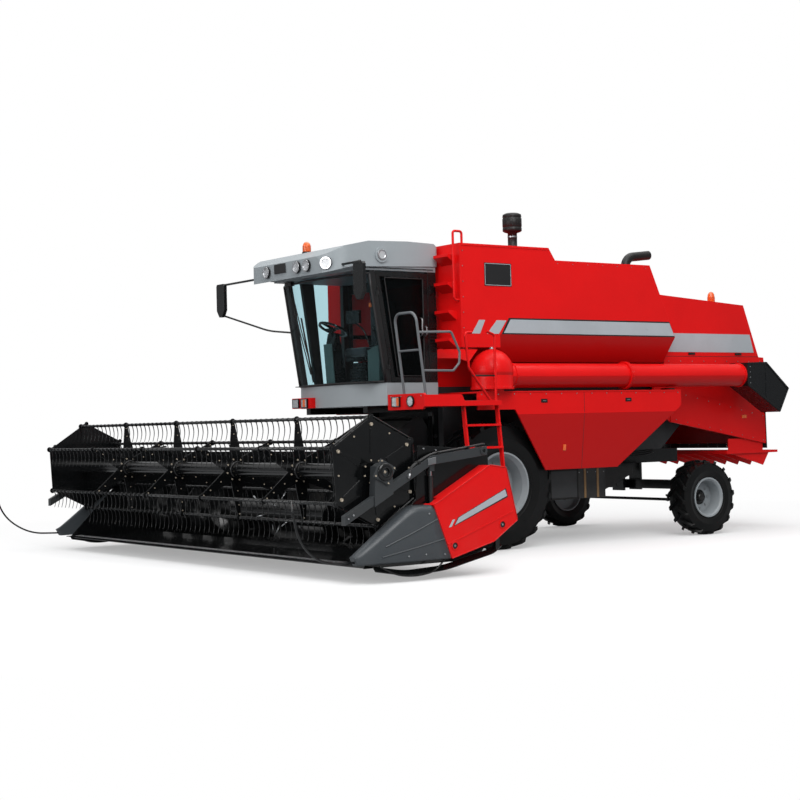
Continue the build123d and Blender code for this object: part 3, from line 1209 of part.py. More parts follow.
# Knife: back bar and its row of triangular sections, sliding over the guards.
KNIFE_BAR_W = 24
KNIFE_T = 6
with BuildPart() as knife:
    knife_line = [
        (-KNIFE_HALF + KNIFE_STROKE, at(KNIFE_Y + 60)), (KNIFE_HALF - KNIFE_STROKE, at(KNIFE_Y + 60)),
    ]
    for i in reversed(range(KNIFE_SECTIONS - 2)):
        x = (i + 0.5) * KNIFE_PITCH - KNIFE_HALF + KNIFE_STROKE
        knife_line += [
            (x + KNIFE_PITCH / 2, at(KNIFE_Y + 60 - KNIFE_BAR_W)), (x + 9, at(KNIFE_Y - 30)),
            (x - 9, at(KNIFE_Y - 30)),
        ]
    knife_line += [(-KNIFE_HALF + KNIFE_STROKE, at(KNIFE_Y + 60 - KNIFE_BAR_W))]
    with BuildSketch(Plane.XY.offset(GUARD_TOP + GAP)):
        Polygon(*knife_line, align=None)
    extrude(amount=KNIFE_T)
save(knife, "knife")

# Header auger: tube with right and left hand flights that meet before the opening, and
# the shaft stubs that turn in the end sheets.
FLIGHT_T = 8
FLIGHT_TURNS = 4.5
FLIGHT_END = INNER_HALF - 60
AUGER_STUB_R = 40
FLIGHT_ROOT = HEADER_AUGER_R - 2
with BuildPart() as flight:
    with BuildLine():
        Helix(pitch=FLIGHT_PITCH, height=FLIGHT_PITCH * FLIGHT_TURNS, radius=FLIGHT_ROOT)
    with BuildSketch(Plane.XZ):
        with Locations(((FLIGHT_ROOT + FLIGHT_R) / 2, 0)):
            Rectangle(FLIGHT_R - FLIGHT_ROOT, FLIGHT_T)
    sweep(is_frenet=True)
with BuildPart() as header_auger:
    with BuildSketch(across(INNER_HALF - 20)):
        with Locations((at(HEADER_AUGER_Y), HEADER_AUGER_Z)):
            Circle(HEADER_AUGER_R)
    extrude(amount=2 * (INNER_HALF - 20))
    with BuildSketch(across(INNER_HALF - GAP)):
        with Locations((at(HEADER_AUGER_Y), HEADER_AUGER_Z)):
            Circle(AUGER_STUB_R)
    extrude(amount=2 * (INNER_HALF - GAP))
    with Locations(Location((-FLIGHT_END, at(HEADER_AUGER_Y), HEADER_AUGER_Z), (0, 90, 0))):
        right_flight = add(flight.part)
    mirror(right_flight, about=Plane.YZ)
save(header_auger, "header_auger")

# Reel arms: bent box beams hinged on the end sheets, with the lugs of the cylinders.
REEL_LUG_X = REEL_LIFT_X + REEL_EYE_HALF + GAP
ARM_SLOPE = (ARM_BEND_Z - ARM_TIP_Z) / (ARM_BEND_Y - ARM_TIP_Y)


def arm_z(y):
    """Height of the arm's middle line this far behind the front axle, forward of its bend."""
    return ARM_BEND_Z + (y - ARM_BEND_Y) * ARM_SLOPE


with BuildPart() as reel_arms:
    for s in BOTH_SIDES:
        with BuildSketch(Plane.YZ.offset(s * (ARM_X - ARM_W / 2))):
            Polygon(*side([
                (ARM_PIVOT_Y + 45, ARM_PIVOT_Z - 45), (ARM_PIVOT_Y + 45, ARM_PIVOT_Z + 45),
                (ARM_BEND_Y, ARM_BEND_Z + ARM_H / 2), (ARM_TIP_Y, ARM_TIP_Z + ARM_H / 2),
                (ARM_TIP_Y, ARM_TIP_Z - ARM_H / 2), (ARM_BEND_Y, ARM_BEND_Z - ARM_H / 2),
            ]), align=None)
            with Locations((at(ARM_PIVOT_Y), ARM_PIVOT_Z)):
                Circle(ARM_PIN_R + SHAFT_GAP, mode=Mode.SUBTRACT)
        extrude(amount=s * ARM_W)
        with BuildSketch(Plane.YZ.offset(s * REEL_LUG_X)):
            Polygon(*side([
                (REEL_LIFT_Y - 30, REEL_LIFT_EYE_Z - 25), (REEL_LIFT_Y - 30, ARM_BEND_Z),
                (REEL_LIFT_Y + 30, ARM_BEND_Z), (REEL_LIFT_Y + 30, REEL_LIFT_EYE_Z - 25),
            ]), align=None)
        extrude(amount=s * 14)
save(reel_arms, "reel_arms")

# Reel carriers: saddles that slide along the arms and hold the stub shafts of the reel.
# The right one also holds the round plate on which the tine control ring turns off centre.
SADDLE_GAP = 0.5
SADDLE_WALL = 14
SADDLE_HALF = 110
SHAFT_R = 40
SHAFT_HALF = ARM_X + ARM_W / 2 + SADDLE_WALL + 20
STUB_DEPTH = 120
CAM_X = -(REEL_HALF + 36)
CAM_T = 8
with BuildPart() as reel_carriers:
    for s in BOTH_SIDES:
        with BuildSketch(Plane.YZ.offset(s * (ARM_X - ARM_W / 2 - SADDLE_WALL))):
            low = ARM_H / 2 + SADDLE_WALL
            Polygon(*side([
                (REEL_Y - SADDLE_HALF, arm_z(REEL_Y - SADDLE_HALF) - low),
                (REEL_Y - SADDLE_HALF, arm_z(REEL_Y - SADDLE_HALF) + low),
                (REEL_Y - SADDLE_HALF + 20, REEL_Z + 60), (REEL_Y + SADDLE_HALF - 20, REEL_Z + 60),
                (REEL_Y + SADDLE_HALF, arm_z(REEL_Y + SADDLE_HALF) + low),
                (REEL_Y + SADDLE_HALF, arm_z(REEL_Y + SADDLE_HALF) - low),
            ]), align=None)
            with Locations((at(REEL_Y), REEL_Z)):
                Circle(90)
        extrude(amount=s * (ARM_W + 2 * SADDLE_WALL))
        with BuildSketch(Plane.YZ.offset(s * SHAFT_HALF)):
            with Locations((at(REEL_Y), REEL_Z)):
                Circle(SHAFT_R)
        extrude(amount=s * (REEL_HALF - STUB_DEPTH + MOVE_GAP - SHAFT_HALF))
        with BuildSketch(Plane.YZ.offset(s * (ARM_X - ARM_W / 2 - SADDLE_GAP))):
            hole = ARM_H / 2 + SADDLE_GAP
            far = SADDLE_HALF + 10
            Polygon(*side([
                (REEL_Y - far, arm_z(REEL_Y - far) - hole), (REEL_Y - far, arm_z(REEL_Y - far) + hole),
                (REEL_Y + far, arm_z(REEL_Y + far) + hole), (REEL_Y + far, arm_z(REEL_Y + far) - hole),
            ]), align=None)
        extrude(amount=s * (ARM_W + 2 * SADDLE_GAP), mode=Mode.SUBTRACT)
    with BuildSketch(Plane.YZ.offset(CAM_X - CAM_T / 2)):
        with Locations((at(REEL_Y + CAM_BACK), REEL_Z + CAM_UP)):
            Circle(CAM_BEARING_R)
    extrude(amount=CAM_T)
    with BuildSketch(Plane.YZ.offset(CAM_X - CAM_T / 2)):
        with Locations((at(REEL_Y), REEL_Z)):
            Circle(76)
    extrude(amount=-(ARM_X - ARM_W / 2 - SADDLE_WALL + CAM_X - CAM_T / 2))
save(reel_carriers, "reel_carriers")

# Reel frame: centre tube on the stub shafts, spiders of tapered arms on round hubs with a
# ring round each bat, and a closed hexagonal plate at both ends, the left one stiffened
# by pressed ribs.
RING_R = 34
SPIDER_T = 8
HUB_R = 150
ARM_ROOT_W = 190
ARM_END_W = 40
RIB_H = 8
SPIDERS = [REEL_HALF * (2 * i / (SPIDER_COUNT - 1) - 1) for i in range(SPIDER_COUNT)]
BAT_ANGLES = [90 + BAT_TILT - 60 * i for i in range(BAT_COUNT)]


def bat_place(angle):
    """Model Y and Z of a bat on the reel at this angle up from the front."""
    a = math.radians(angle)
    return (at(REEL_Y) - BAT_RADIUS * math.cos(a), REEL_Z + BAT_RADIUS * math.sin(a))


BAT_PLACES = [bat_place(angle) for angle in BAT_ANGLES]
with BuildPart() as reel_frame:
    with BuildSketch(across(REEL_HALF)):
        with Locations((at(REEL_Y), REEL_Z)):
            Circle(REEL_TUBE_R)
    extrude(amount=2 * REEL_HALF)
    for x in SPIDERS:
        with BuildSketch(Plane.YZ.offset(x - SPIDER_T / 2)):
            if abs(x) > REEL_HALF - 1:
                Polygon(*BAT_PLACES, align=None)
            with Locations((at(REEL_Y), REEL_Z)):
                Circle(HUB_R)
                for angle in BAT_ANGLES:
                    with Locations(Location((0, 0), 180 - angle)):
                        Polygon(
                            (0, -ARM_ROOT_W / 2), (BAT_RADIUS, -ARM_END_W / 2), (BAT_RADIUS, ARM_END_W / 2),
                            (0, ARM_ROOT_W / 2), align=None,
                        )
            with Locations(*BAT_PLACES):
                Circle(RING_R)
                Circle(BAT_R + SHAFT_GAP, mode=Mode.SUBTRACT)
        extrude(amount=SPIDER_T)
    with BuildSketch(Plane.YZ.offset(REEL_HALF + SPIDER_T / 2)):
        with Locations((at(REEL_Y), REEL_Z)):
            for angle in BAT_ANGLES:
                with Locations(Location((0, 0), 180 - angle)):
                    Polygon((190, -34), (430, -12), (430, 12), (190, 34), align=None)
    extrude(amount=RIB_H)
    for s in BOTH_SIDES:
        with BuildSketch(Plane.YZ.offset(s * (REEL_HALF - STUB_DEPTH))):
            with Locations((at(REEL_Y), REEL_Z)):
                Circle(SHAFT_R + SHAFT_GAP)
        extrude(amount=s * 2 * STUB_DEPTH, mode=Mode.SUBTRACT)
save(reel_frame, "reel_frame")

# Tine control ring: turns with the reel about its own centre, off the reel's axis, and
# holds the cranks of the bats so that the tines keep pointing down.
CRANK_PIN_R = 9
CAM_PLACES = [(y + CAM_BACK, z + CAM_UP) for y, z in BAT_PLACES]
with BuildPart() as reel_cam:
    with BuildSketch(Plane.YZ.offset(CAM_X - CAM_T / 2)):
        Polygon(*CAM_PLACES, align=None)
        with Locations((at(REEL_Y + CAM_BACK), REEL_Z + CAM_UP)):
            Circle(BAT_RADIUS * 0.72, mode=Mode.SUBTRACT)
            for angle in BAT_ANGLES:
                with Locations(Location((0, 0), 180 - angle)):
                    with Locations((BAT_RADIUS * 0.45, 0)):
                        Rectangle(BAT_RADIUS * 0.75, 50)
            Circle(CAM_BEARING_R + 45)
            Circle(CAM_BEARING_R + GAP, mode=Mode.SUBTRACT)
        with Locations(*CAM_PLACES):
            Circle(26)
            Circle(CRANK_PIN_R + SHAFT_GAP, mode=Mode.SUBTRACT)
    extrude(amount=CAM_T)
save(reel_cam, "reel_cam")

# Bats: a tube with its row of bowed, tapered tines and the crank at its right end.
BAY = 2 * REEL_HALF / (SPIDER_COUNT - 1)
TINE_PITCH = BAY / TINES_PER_BAY
TINE_COUNT = TINES_PER_BAY * (SPIDER_COUNT - 1)
BAT_RIGHT = -(REEL_HALF + SPIDER_T / 2 + MOVE_GAP)
BAT_LEFT = REEL_HALF + SPIDER_T / 2 + MOVE_GAP
CRANK_T = 8
for i, (y, z) in enumerate(BAT_PLACES):
    with BuildPart() as bat:
        with BuildSketch(Plane.YZ.offset(BAT_RIGHT)):
            with Locations((y, z)):
                Circle(BAT_R)
        extrude(amount=BAT_LEFT - BAT_RIGHT)
        with BuildSketch(Plane.YZ):
            Polygon(
                (y - 7, z), (y + 7, z), (y + 6 + TINE_BOW, z - TINE_LENGTH * 0.5), (y + 3, z - TINE_LENGTH),
                (y - 3, z - TINE_LENGTH), (y - 5 + TINE_BOW, z - TINE_LENGTH * 0.5), align=None,
            )
        tine = extrude(amount=TINE_T / 2, both=True, mode=Mode.PRIVATE)
        with Locations(*[(TINE_PITCH * (j + 0.5) - REEL_HALF, 0, 0) for j in range(TINE_COUNT)]):
            add(tine)
        with BuildSketch(Plane.YZ.offset(BAT_RIGHT)):
            with Locations((y, z)):
                Circle(BAT_R + 6)
            with Locations(Location((y, z), math.degrees(math.atan2(CAM_UP, CAM_BACK)))):
                with Locations((math.hypot(CAM_BACK, CAM_UP) / 2, 0)):
                    Rectangle(math.hypot(CAM_BACK, CAM_UP), 26)
            with Locations((y + CAM_BACK, z + CAM_UP)):
                Circle(17)
        extrude(amount=-CRANK_T)
        with BuildSketch(Plane.YZ.offset(BAT_RIGHT)):
            with Locations((y + CAM_BACK, z + CAM_UP)):
                Circle(CRANK_PIN_R)
        extrude(amount=CAM_X - CAM_T / 2 - BAT_RIGHT)
    save(bat, f"reel_bat_{i + 1}")

# Lift cylinders of the feeder house: barrels on the pins of the axle lugs, rods with
# their eyes beside the lugs of the feeder house.
LIFT_DY = LIFT_FOOT_Y - LIFT_EYE_Y
LIFT_ANGLE = math.degrees(math.atan2(LIFT_EYE_Z - LIFT_FOOT_Z, LIFT_DY))
LIFT_LENGTH = math.hypot(LIFT_EYE_Z - LIFT_FOOT_Z, LIFT_DY)
LIFT_EYE_HALF = LIFT_LUG_IN - GAP
with BuildPart() as lift_barrels:
    for s in BOTH_SIDES:
        foot = rod_plane(s * LIFT_X, LIFT_FOOT_Y, LIFT_FOOT_Z, LIFT_ANGLE)
        with BuildSketch(foot):
            Circle(LIFT_BARREL_R)
        extrude(amount=LIFT_LENGTH - 160)
        with BuildSketch(foot.offset(90)):
            Circle(LIFT_ROD_R + SHAFT_GAP)
        extrude(amount=LIFT_LENGTH, mode=Mode.SUBTRACT)
        with BuildSketch(Plane.YZ.offset(s * LIFT_X - LIFT_BARREL_R + 8)):
            with Locations((at(LIFT_FOOT_Y), LIFT_FOOT_Z)):
                Circle(LIFT_PIN_R + 20)
        extrude(amount=2 * LIFT_BARREL_R - 16)
        with BuildSketch(Plane.YZ.offset(s * LIFT_X - 80)):
            with Locations((at(LIFT_FOOT_Y), LIFT_FOOT_Z)):
                Circle(LIFT_PIN_R + SHAFT_GAP)
        extrude(amount=160, mode=Mode.SUBTRACT)
save(lift_barrels, "lift_barrels")
with BuildPart() as lift_rods:
    for s in BOTH_SIDES:
        foot = rod_plane(s * LIFT_X, LIFT_FOOT_Y, LIFT_FOOT_Z, LIFT_ANGLE)
        with BuildSketch(foot.offset(110)):
            Circle(LIFT_ROD_R)
        extrude(amount=LIFT_LENGTH - 110)
        with BuildSketch(Plane.YZ.offset(s * LIFT_X - LIFT_EYE_HALF)):
            with Locations((at(LIFT_EYE_Y), LIFT_EYE_Z)):
                Circle(LIFT_ROD_R + 10)
        extrude(amount=2 * LIFT_EYE_HALF)
save(lift_rods, "lift_rods")

# Lift cylinders of the reel: barrels on the pins of the end sheets, rods with their
# eyes beside the lugs of the arms.
with BuildPart() as reel_lift_barrels:
    for s in BOTH_SIDES:
        with BuildSketch(Plane.XY.offset(REEL_LIFT_FOOT_Z)):
            with Locations((s * REEL_LIFT_X, at(REEL_LIFT_Y))):
                Circle(REEL_LIFT_BARREL_R)
        extrude(amount=REEL_LIFT_EYE_Z - REEL_LIFT_FOOT_Z - 70)
        with BuildSketch(Plane.XY.offset(REEL_LIFT_FOOT_Z + 40)):
            with Locations((s * REEL_LIFT_X, at(REEL_LIFT_Y))):
                Circle(REEL_LIFT_ROD_R + SHAFT_GAP)
        extrude(amount=REEL_LIFT_EYE_Z - REEL_LIFT_FOOT_Z, mode=Mode.SUBTRACT)
        with BuildSketch(Plane.YZ.offset(s * REEL_LIFT_X - REEL_LIFT_BARREL_R + 5)):
            with Locations((at(REEL_LIFT_Y), REEL_LIFT_FOOT_Z)):
                Circle(REEL_LIFT_PIN_R + 16)
        extrude(amount=2 * REEL_LIFT_BARREL_R - 10)
        with BuildSketch(Plane.YZ.offset(s * REEL_LIFT_X - 50)):
            with Locations((at(REEL_LIFT_Y), REEL_LIFT_FOOT_Z)):
                Circle(REEL_LIFT_PIN_R + SHAFT_GAP)
        extrude(amount=100, mode=Mode.SUBTRACT)
save(reel_lift_barrels, "reel_lift_barrels")
with BuildPart() as reel_lift_rods:
    for s in BOTH_SIDES:
        with BuildSketch(Plane.XY.offset(REEL_LIFT_FOOT_Z + 50)):
            with Locations((s * REEL_LIFT_X, at(REEL_LIFT_Y))):
                Circle(REEL_LIFT_ROD_R)
        extrude(amount=REEL_LIFT_EYE_Z - REEL_LIFT_FOOT_Z - 50)
        with BuildSketch(Plane.YZ.offset(s * REEL_LIFT_X - REEL_EYE_HALF)):
            with Locations((at(REEL_LIFT_Y), REEL_LIFT_EYE_Z)):
                Circle(REEL_LIFT_ROD_R + 7)
        extrude(amount=2 * REEL_EYE_HALF)
save(reel_lift_rods, "reel_lift_rods")
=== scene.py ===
import math

import bpy
import bmesh
from mathutils import Matrix, Vector


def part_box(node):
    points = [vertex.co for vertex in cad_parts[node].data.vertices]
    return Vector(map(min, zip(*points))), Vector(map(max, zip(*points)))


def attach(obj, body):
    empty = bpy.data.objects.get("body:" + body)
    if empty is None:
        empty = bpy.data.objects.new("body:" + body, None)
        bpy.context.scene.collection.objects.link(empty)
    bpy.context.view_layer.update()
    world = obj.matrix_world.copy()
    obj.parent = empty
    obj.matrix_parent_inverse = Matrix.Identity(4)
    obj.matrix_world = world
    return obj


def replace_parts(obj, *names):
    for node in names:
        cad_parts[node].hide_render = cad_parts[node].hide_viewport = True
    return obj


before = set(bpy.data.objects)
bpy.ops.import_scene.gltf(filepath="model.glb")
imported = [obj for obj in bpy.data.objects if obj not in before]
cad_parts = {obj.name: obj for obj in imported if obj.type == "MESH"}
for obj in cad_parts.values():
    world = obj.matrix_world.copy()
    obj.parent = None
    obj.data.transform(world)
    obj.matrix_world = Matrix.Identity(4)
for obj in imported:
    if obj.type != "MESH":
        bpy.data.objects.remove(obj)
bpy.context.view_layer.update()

# Y of the front axle in the shared frame. Pieces are drawn with Y as the distance behind it, in metres.
AXLE_Y = -0.445
SIDE = {1: "left", -1: "right"}
FRONT, BACK, UP = (0, -1, 0), (0, 1, 0), (0, 0, 1)


# Node materials

M = {}


class Nodes:
    """A node tree under construction."""

    def __init__(self, tree):
        self.tree = tree
        tree.nodes.clear()

    def node(self, kind, inputs=None, **settings):
        n = self.tree.nodes.new(kind)
        for key, value in settings.items():
            setattr(n, key, value)
        for key, value in (inputs or {}).items():
            self.put(n.inputs[key], value)
        return n

    def put(self, socket, value):
        """Gives a socket a number, a colour, a vector or the output of another node."""
        if isinstance(value, bpy.types.NodeSocket):
            self.tree.links.new(value, socket)
        elif isinstance(value, tuple) and len(socket.default_value) > len(value):
            socket.default_value = (*value, 1.0)
        elif value is not None:
            socket.default_value = value

    def height_of(self, vector):
        return self.node("ShaderNodeSeparateXYZ", {0: vector}).outputs["Z"]


class Shader(Nodes):
    """A material with one Principled surface, kept in M under its name."""

    def __init__(self, name):
        M[name] = bpy.data.materials.new(name)
        M[name].use_nodes = True
        super().__init__(M[name].node_tree)
        self.out = self.node("ShaderNodeOutputMaterial")
        self.bsdf = self.node("ShaderNodeBsdfPrincipled", {"Diffuse Roughness": 0.2})
        self.put(self.out.inputs["Surface"], self.bsdf.outputs["BSDF"])
        self.coord = self.node("ShaderNodeTexCoord").outputs["Object"]

    def set(self, **values):
        for key, value in values.items():
            self.put(self.bsdf.inputs[key.replace("_", " ")], value)

    def noise(self, scale, detail=4.0, rough=0.55, stretch=None):
        place = self.coord
        if stretch:
            place = self.node("ShaderNodeMapping", {"Vector": place, "Scale": stretch}).outputs["Vector"]
        settings = {"Vector": place, "Scale": scale, "Detail": detail, "Roughness": rough}
        return self.node("ShaderNodeTexNoise", settings).outputs["Fac"]

    def spread(self, value, low, high, to_low=0.0, to_high=1.0):
        """Maps low to high onto to_low to to_high, and holds what lies outside."""
        ends = {"Value": value, "From Min": low, "From Max": high, "To Min": to_low, "To Max": to_high}
        return self.node("ShaderNodeMapRange", ends, clamp=True).outputs["Result"]

    def math(self, op, a, b):
        return self.node("ShaderNodeMath", {0: a, 1: b}, operation=op).outputs["Value"]

    def mix(self, factor, a, b):
        return self.node("ShaderNodeMix", {0: factor, 6: a, 7: b}, data_type="RGBA").outputs[2]

    def geometry(self, output):
        return self.node("ShaderNodeNewGeometry").outputs[output]

    def edge(self, radius):
        """Rounded normal and a mask that is 1 at sharp edges."""
        normal = self.node("ShaderNodeBevel", {"Radius": radius}, samples=4).outputs["Normal"]
        pair = {0: normal, 1: self.geometry("True Normal")}
        dot = self.node("ShaderNodeVectorMath", pair, operation="DOT_PRODUCT")
        return normal, self.spread(dot.outputs["Value"], 0.985, 0.8)

    def bump(self, height, strength, distance, normal=None):
        settings = {"Strength": strength, "Distance": distance, "Height": height, "Normal": normal}
        return self.node("ShaderNodeBump", settings).outputs["Normal"]

    def blend(self, factor, a, b):
        """Mixes two surfaces into the material's output."""
        mixed = self.node("ShaderNodeMixShader", {"Fac": factor, 1: a, 2: b})
        self.put(self.out.inputs["Surface"], mixed.outputs["Shader"])


def scaled(color, k):
    return tuple(min(1.0, c * k) for c in color)


DUST = (0.42, 0.36, 0.28)


def finish(name, color, rough=0.35, metallic=0.0, coat=0.0, variation=0.08, edge=0.004, edge_color=None,
        edge_amount=0.25, dust=0.06, grain=0.04, grain_scale=180.0, rough_spread=0.08, ao=0.0, specular=0.5,
        lean=1.0):
    """Enamel, metal, rubber or plastic: cloudy colour, uneven gloss, fine grain, worn edges
    and some dust on what faces up and near the ground. Faces that lean downward get painted shade, their
    colour scaled by lean, and ao paints shade into recesses."""
    s = Shader(name)
    cloud = s.spread(s.noise(1.7, 5.0), 0.3, 0.7)
    base = s.mix(cloud, scaled(color, 1 - variation), scaled(color, 1 + variation))
    speck = s.spread(s.noise(38.0, 6.0, 0.7), 0.45, 0.75)
    base = s.mix(s.math("MULTIPLY", speck, 0.12), base, scaled(color, 0.75))
    normal, worn = s.edge(edge)
    scuff = s.math("MULTIPLY", worn, s.spread(s.noise(24.0, 6.0, 0.7), 0.42, 0.62))
    base = s.mix(s.math("MULTIPLY", scuff, edge_amount), base, edge_color or scaled(color, 1.6))
    up = s.spread(s.height_of(s.geometry("Normal")), 0.35, 0.95)
    low = s.spread(s.height_of(s.coord), 1.3, 0.1)
    where = s.math("MAXIMUM", s.math("MULTIPLY", up, 0.7), low)
    dusty = s.math("MULTIPLY", where, s.spread(s.noise(5.0, 8.0, 0.7), 0.35, 0.8))
    base = s.mix(s.math("MULTIPLY", dusty, dust * 3), base, DUST)
    # painted shade: faces that lean downward are darkened to lean times the colour
    if lean < 1.0:
        downward_shade = s.spread(s.height_of(s.geometry("Normal")), -0.05, -0.12)
        base = s.mix(downward_shade, base, scaled(color, lean))
    # painted shade: ambient occlusion darkens the colour in recesses and between parts
    if ao:
        occlusion_shade = s.node("ShaderNodeAmbientOcclusion", {"Distance": 0.12}, samples=4).outputs["AO"]
        base = s.mix(s.spread(occlusion_shade, 0.2, 0.9, ao, 0.0), base, scaled(color, 0.35))
    gloss = s.spread(s.noise(9.0, 6.0, 0.65), 0.3, 0.7, rough - rough_spread, rough + rough_spread)
    s.set(Base_Color=base, Roughness=s.math("ADD", gloss, s.math("MULTIPLY", dusty, dust * 3)),
        Normal=s.bump(s.noise(grain_scale, 3.0), grain, 0.002, normal), Metallic=metallic, Coat_Weight=coat,
        Coat_Roughness=0.08, Specular_IOR_Level=specular)


def glass(name, color, shine, rough=0.02):
    """Tinted sheet glass with faint smears that mirrors on its front face only."""
    s = Shader(name)
    smear = s.spread(s.noise(3.0, 6.0, 0.7, (1.0, 1.0, 0.35)), 0.45, 0.8)
    tint = s.mix(s.math("MULTIPLY", smear, 0.25), color, scaled(color, 1.15))
    s.set(Base_Color=s.mix(0.93, tint, (0.004, 0.005, 0.005)), Coat_Weight=0.3,
        Roughness=s.spread(smear, 0.0, 1.0, rough, rough + 0.1),
        Normal=s.bump(s.noise(1.3, 2.0), 0.02, 0.01))
    clear = s.node("ShaderNodeBsdfTransparent", {"Color": color})
    fresnel = s.node("ShaderNodeFresnel", {"IOR": 1.5}).outputs["Fac"]
    front = s.math("SUBTRACT", 1.0, s.geometry("Backfacing"))
    mirror = s.math("MULTIPLY", s.spread(fresnel, 0.0, 1.0, shine, 0.9), front)
    s.blend(mirror, clear.outputs["BSDF"], s.bsdf.outputs["BSDF"])


def cloth(name, color):
    s = Shader(name)
    weave = s.node("ShaderNodeTexWave", {"Vector": s.coord, "Scale": 220.0, "Distortion": 1.5},
        wave_type="BANDS", bands_direction="DIAGONAL").outputs["Fac"]
    base = s.mix(weave, scaled(color, 0.8), scaled(color, 1.3))
    s.set(Base_Color=s.mix(s.spread(s.noise(6.0, 5.0), 0.4, 0.7, 0.0, 0.4), base, scaled(color, 1.5)),
        Roughness=s.spread(s.noise(20.0), 0.3, 0.7, 0.8, 0.95), Normal=s.bump(weave, 0.3, 0.002),
        Sheen_Weight=0.4)


def two_zone(name, low_color, high_color, split_z, rough):
    """Painted below a height, black above it, with the cloudiness of enamel."""
    s = Shader(name)
    cloud = s.spread(s.noise(1.7, 5.0), 0.3, 0.7)
    low = s.mix(cloud, scaled(low_color, 0.94), scaled(low_color, 1.06))
    high = s.mix(cloud, scaled(high_color, 0.85), scaled(high_color, 1.15))
    base = s.mix(s.spread(s.height_of(s.coord), split_z - 0.001, split_z + 0.001), low, high)
    normal, worn = s.edge(0.004)
    s.set(Base_Color=s.mix(s.math("MULTIPLY", worn, 0.12), base, (0.3, 0.31, 0.32)),
        Roughness=s.spread(s.noise(9.0, 6.0, 0.65), 0.3, 0.7, rough - 0.06, rough + 0.06),
        Normal=s.bump(s.noise(180.0, 3.0), 0.04, 0.002, normal))


def ribbed_lens(name, color):
    """Pressed lamp glass: bright, with fine upright ribs."""
    s = Shader(name)
    rib = s.node("ShaderNodeTexWave", {"Vector": s.coord, "Scale": 26.0}, wave_type="BANDS",
        bands_direction="X").outputs["Fac"]
    s.set(Base_Color=s.mix(rib, scaled(color, 0.7), color), Normal=s.bump(rib, 0.5, 0.004),
        Roughness=s.spread(s.noise(12.0), 0.3, 0.7, 0.05, 0.14), Metallic=0.55, Coat_Weight=1.0,
        Coat_Roughness=0.03)


def mesh_screen(name):
    """Perforated sheet: dark holes in rows on a black sheet."""
    s = Shader(name)
    dots = s.node("ShaderNodeTexVoronoi", {"Vector": s.coord, "Scale": 70.0, "Randomness": 0.0},
        feature="F1")
    hole = s.spread(dots.outputs["Distance"], 0.28, 0.34)
    s.set(Base_Color=s.mix(hole, (0.002, 0.002, 0.002), (0.045, 0.047, 0.05)),
        Roughness=s.spread(s.noise(9.0), 0.3, 0.7, 0.45, 0.6), Normal=s.bump(hole, 0.6, 0.003))


RED = (0.74, 0.006, 0.0065)
# lean=0.66 paints shade on the red faces that lean downward
finish("red_paint", RED, 0.34, coat=0.06, variation=0.04, lean=0.66, edge_color=(0.85, 0.07, 0.06),
    edge_amount=0.18, dust=0.012, rough_spread=0.05, grain=0.015, specular=0.16)
finish("body_paint", (0.02, 0.021, 0.023), 0.5, dust=0.05)
finish("black_paint", (0.003, 0.0034, 0.0038), 0.17, coat=0.25, dust=0.002, specular=0.35,
    rough_spread=0.05, edge_color=(0.12, 0.125, 0.13), grain=0.02)
finish("grey_paint", (0.03, 0.034, 0.037), 0.36, dust=0.02)
finish("cab_trim", (0.006, 0.0065, 0.007), 0.28, coat=0.15, dust=0.01, specular=0.35)
finish("roof_paint", (0.32, 0.355, 0.375), 0.42, dust=0.01, variation=0.04)
glass("window_glass", (0.83, 0.925, 0.945), 0.02)
cloth("seat_cloth", (0.03, 0.03, 0.035))
# ao paints shade into the recesses of the rims and the tyres
finish("rim_paint", (0.3, 0.33, 0.35), 0.4, dust=0.04, ao=0.5)
finish("tyre_rubber", (0.003, 0.0034, 0.0037), 0.34, dust=0.004, specular=0.22, variation=0.15, edge=0.006,
    edge_color=(0.03, 0.031, 0.032), grain=0.15, grain_scale=90.0, ao=0.4)
finish("spout_rubber", (0.005, 0.006, 0.007), 0.28, dust=0.004, grain=0.03, specular=0.35)
finish("nose_plastic", (0.046, 0.054, 0.061), 0.42, dust=0.01, grain=0.06)
finish("engine_paint", (0.03, 0.033, 0.036), 0.55, dust=0.06, grain=0.2)
finish("pipe_metal", (0.01, 0.01, 0.01), 0.45, metallic=0.3, dust=0.02)
finish("amber_lens", (0.85, 0.13, 0.01), 0.15, coat=0.8, dust=0.0, edge=0.008)
ribbed_lens("lamp_lens", (0.8, 0.82, 0.84))
finish("knife_steel", (0.3, 0.3, 0.31), 0.32, metallic=1.0, dust=0.03)
finish("cylinder_paint", (0.012, 0.012, 0.013), 0.32, dust=0.02)
finish("rod_chrome", (0.62, 0.63, 0.65), 0.12, metallic=1.0, dust=0.0, grain=0.01)
finish("silver_decal", (0.42, 0.45, 0.48), 0.35, dust=0.0, edge=0.001)
finish("dark_decal", (0.01, 0.01, 0.011), 0.35, dust=0.0, edge=0.001)
finish("lamp_chrome", (0.7, 0.71, 0.73), 0.1, metallic=1.0, dust=0.0)
finish("hose_rubber", (0.009, 0.009, 0.01), 0.5, dust=0.02)
finish("bolt_steel", (0.34, 0.35, 0.36), 0.3, metallic=1.0, dust=0.0, edge=0.001)
finish("zinc_bolt", (0.42, 0.36, 0.28), 0.4, metallic=0.25, dust=0.0, edge=0.001)
finish("white_plastic", (0.72, 0.73, 0.73), 0.35, dust=0.0)
finish("tan_strap", (0.34, 0.2, 0.09), 0.75, dust=0.05)
finish("cab_green", (0.085, 0.12, 0.115), 0.55, dust=0.01)
glass("door_tint", (0.2, 0.25, 0.27), 0.05)
two_zone("cab_shell", (0.34, 0.37, 0.39), (0.008, 0.0085, 0.009), 2.046, 0.34)
mesh_screen("mesh_screen")
finish("rail_grey", (0.13, 0.14, 0.15), 0.36, coat=0.1, dust=0.01)
finish("red_lens", (0.55, 0.01, 0.01), 0.12, coat=0.9, dust=0.0, edge=0.004)

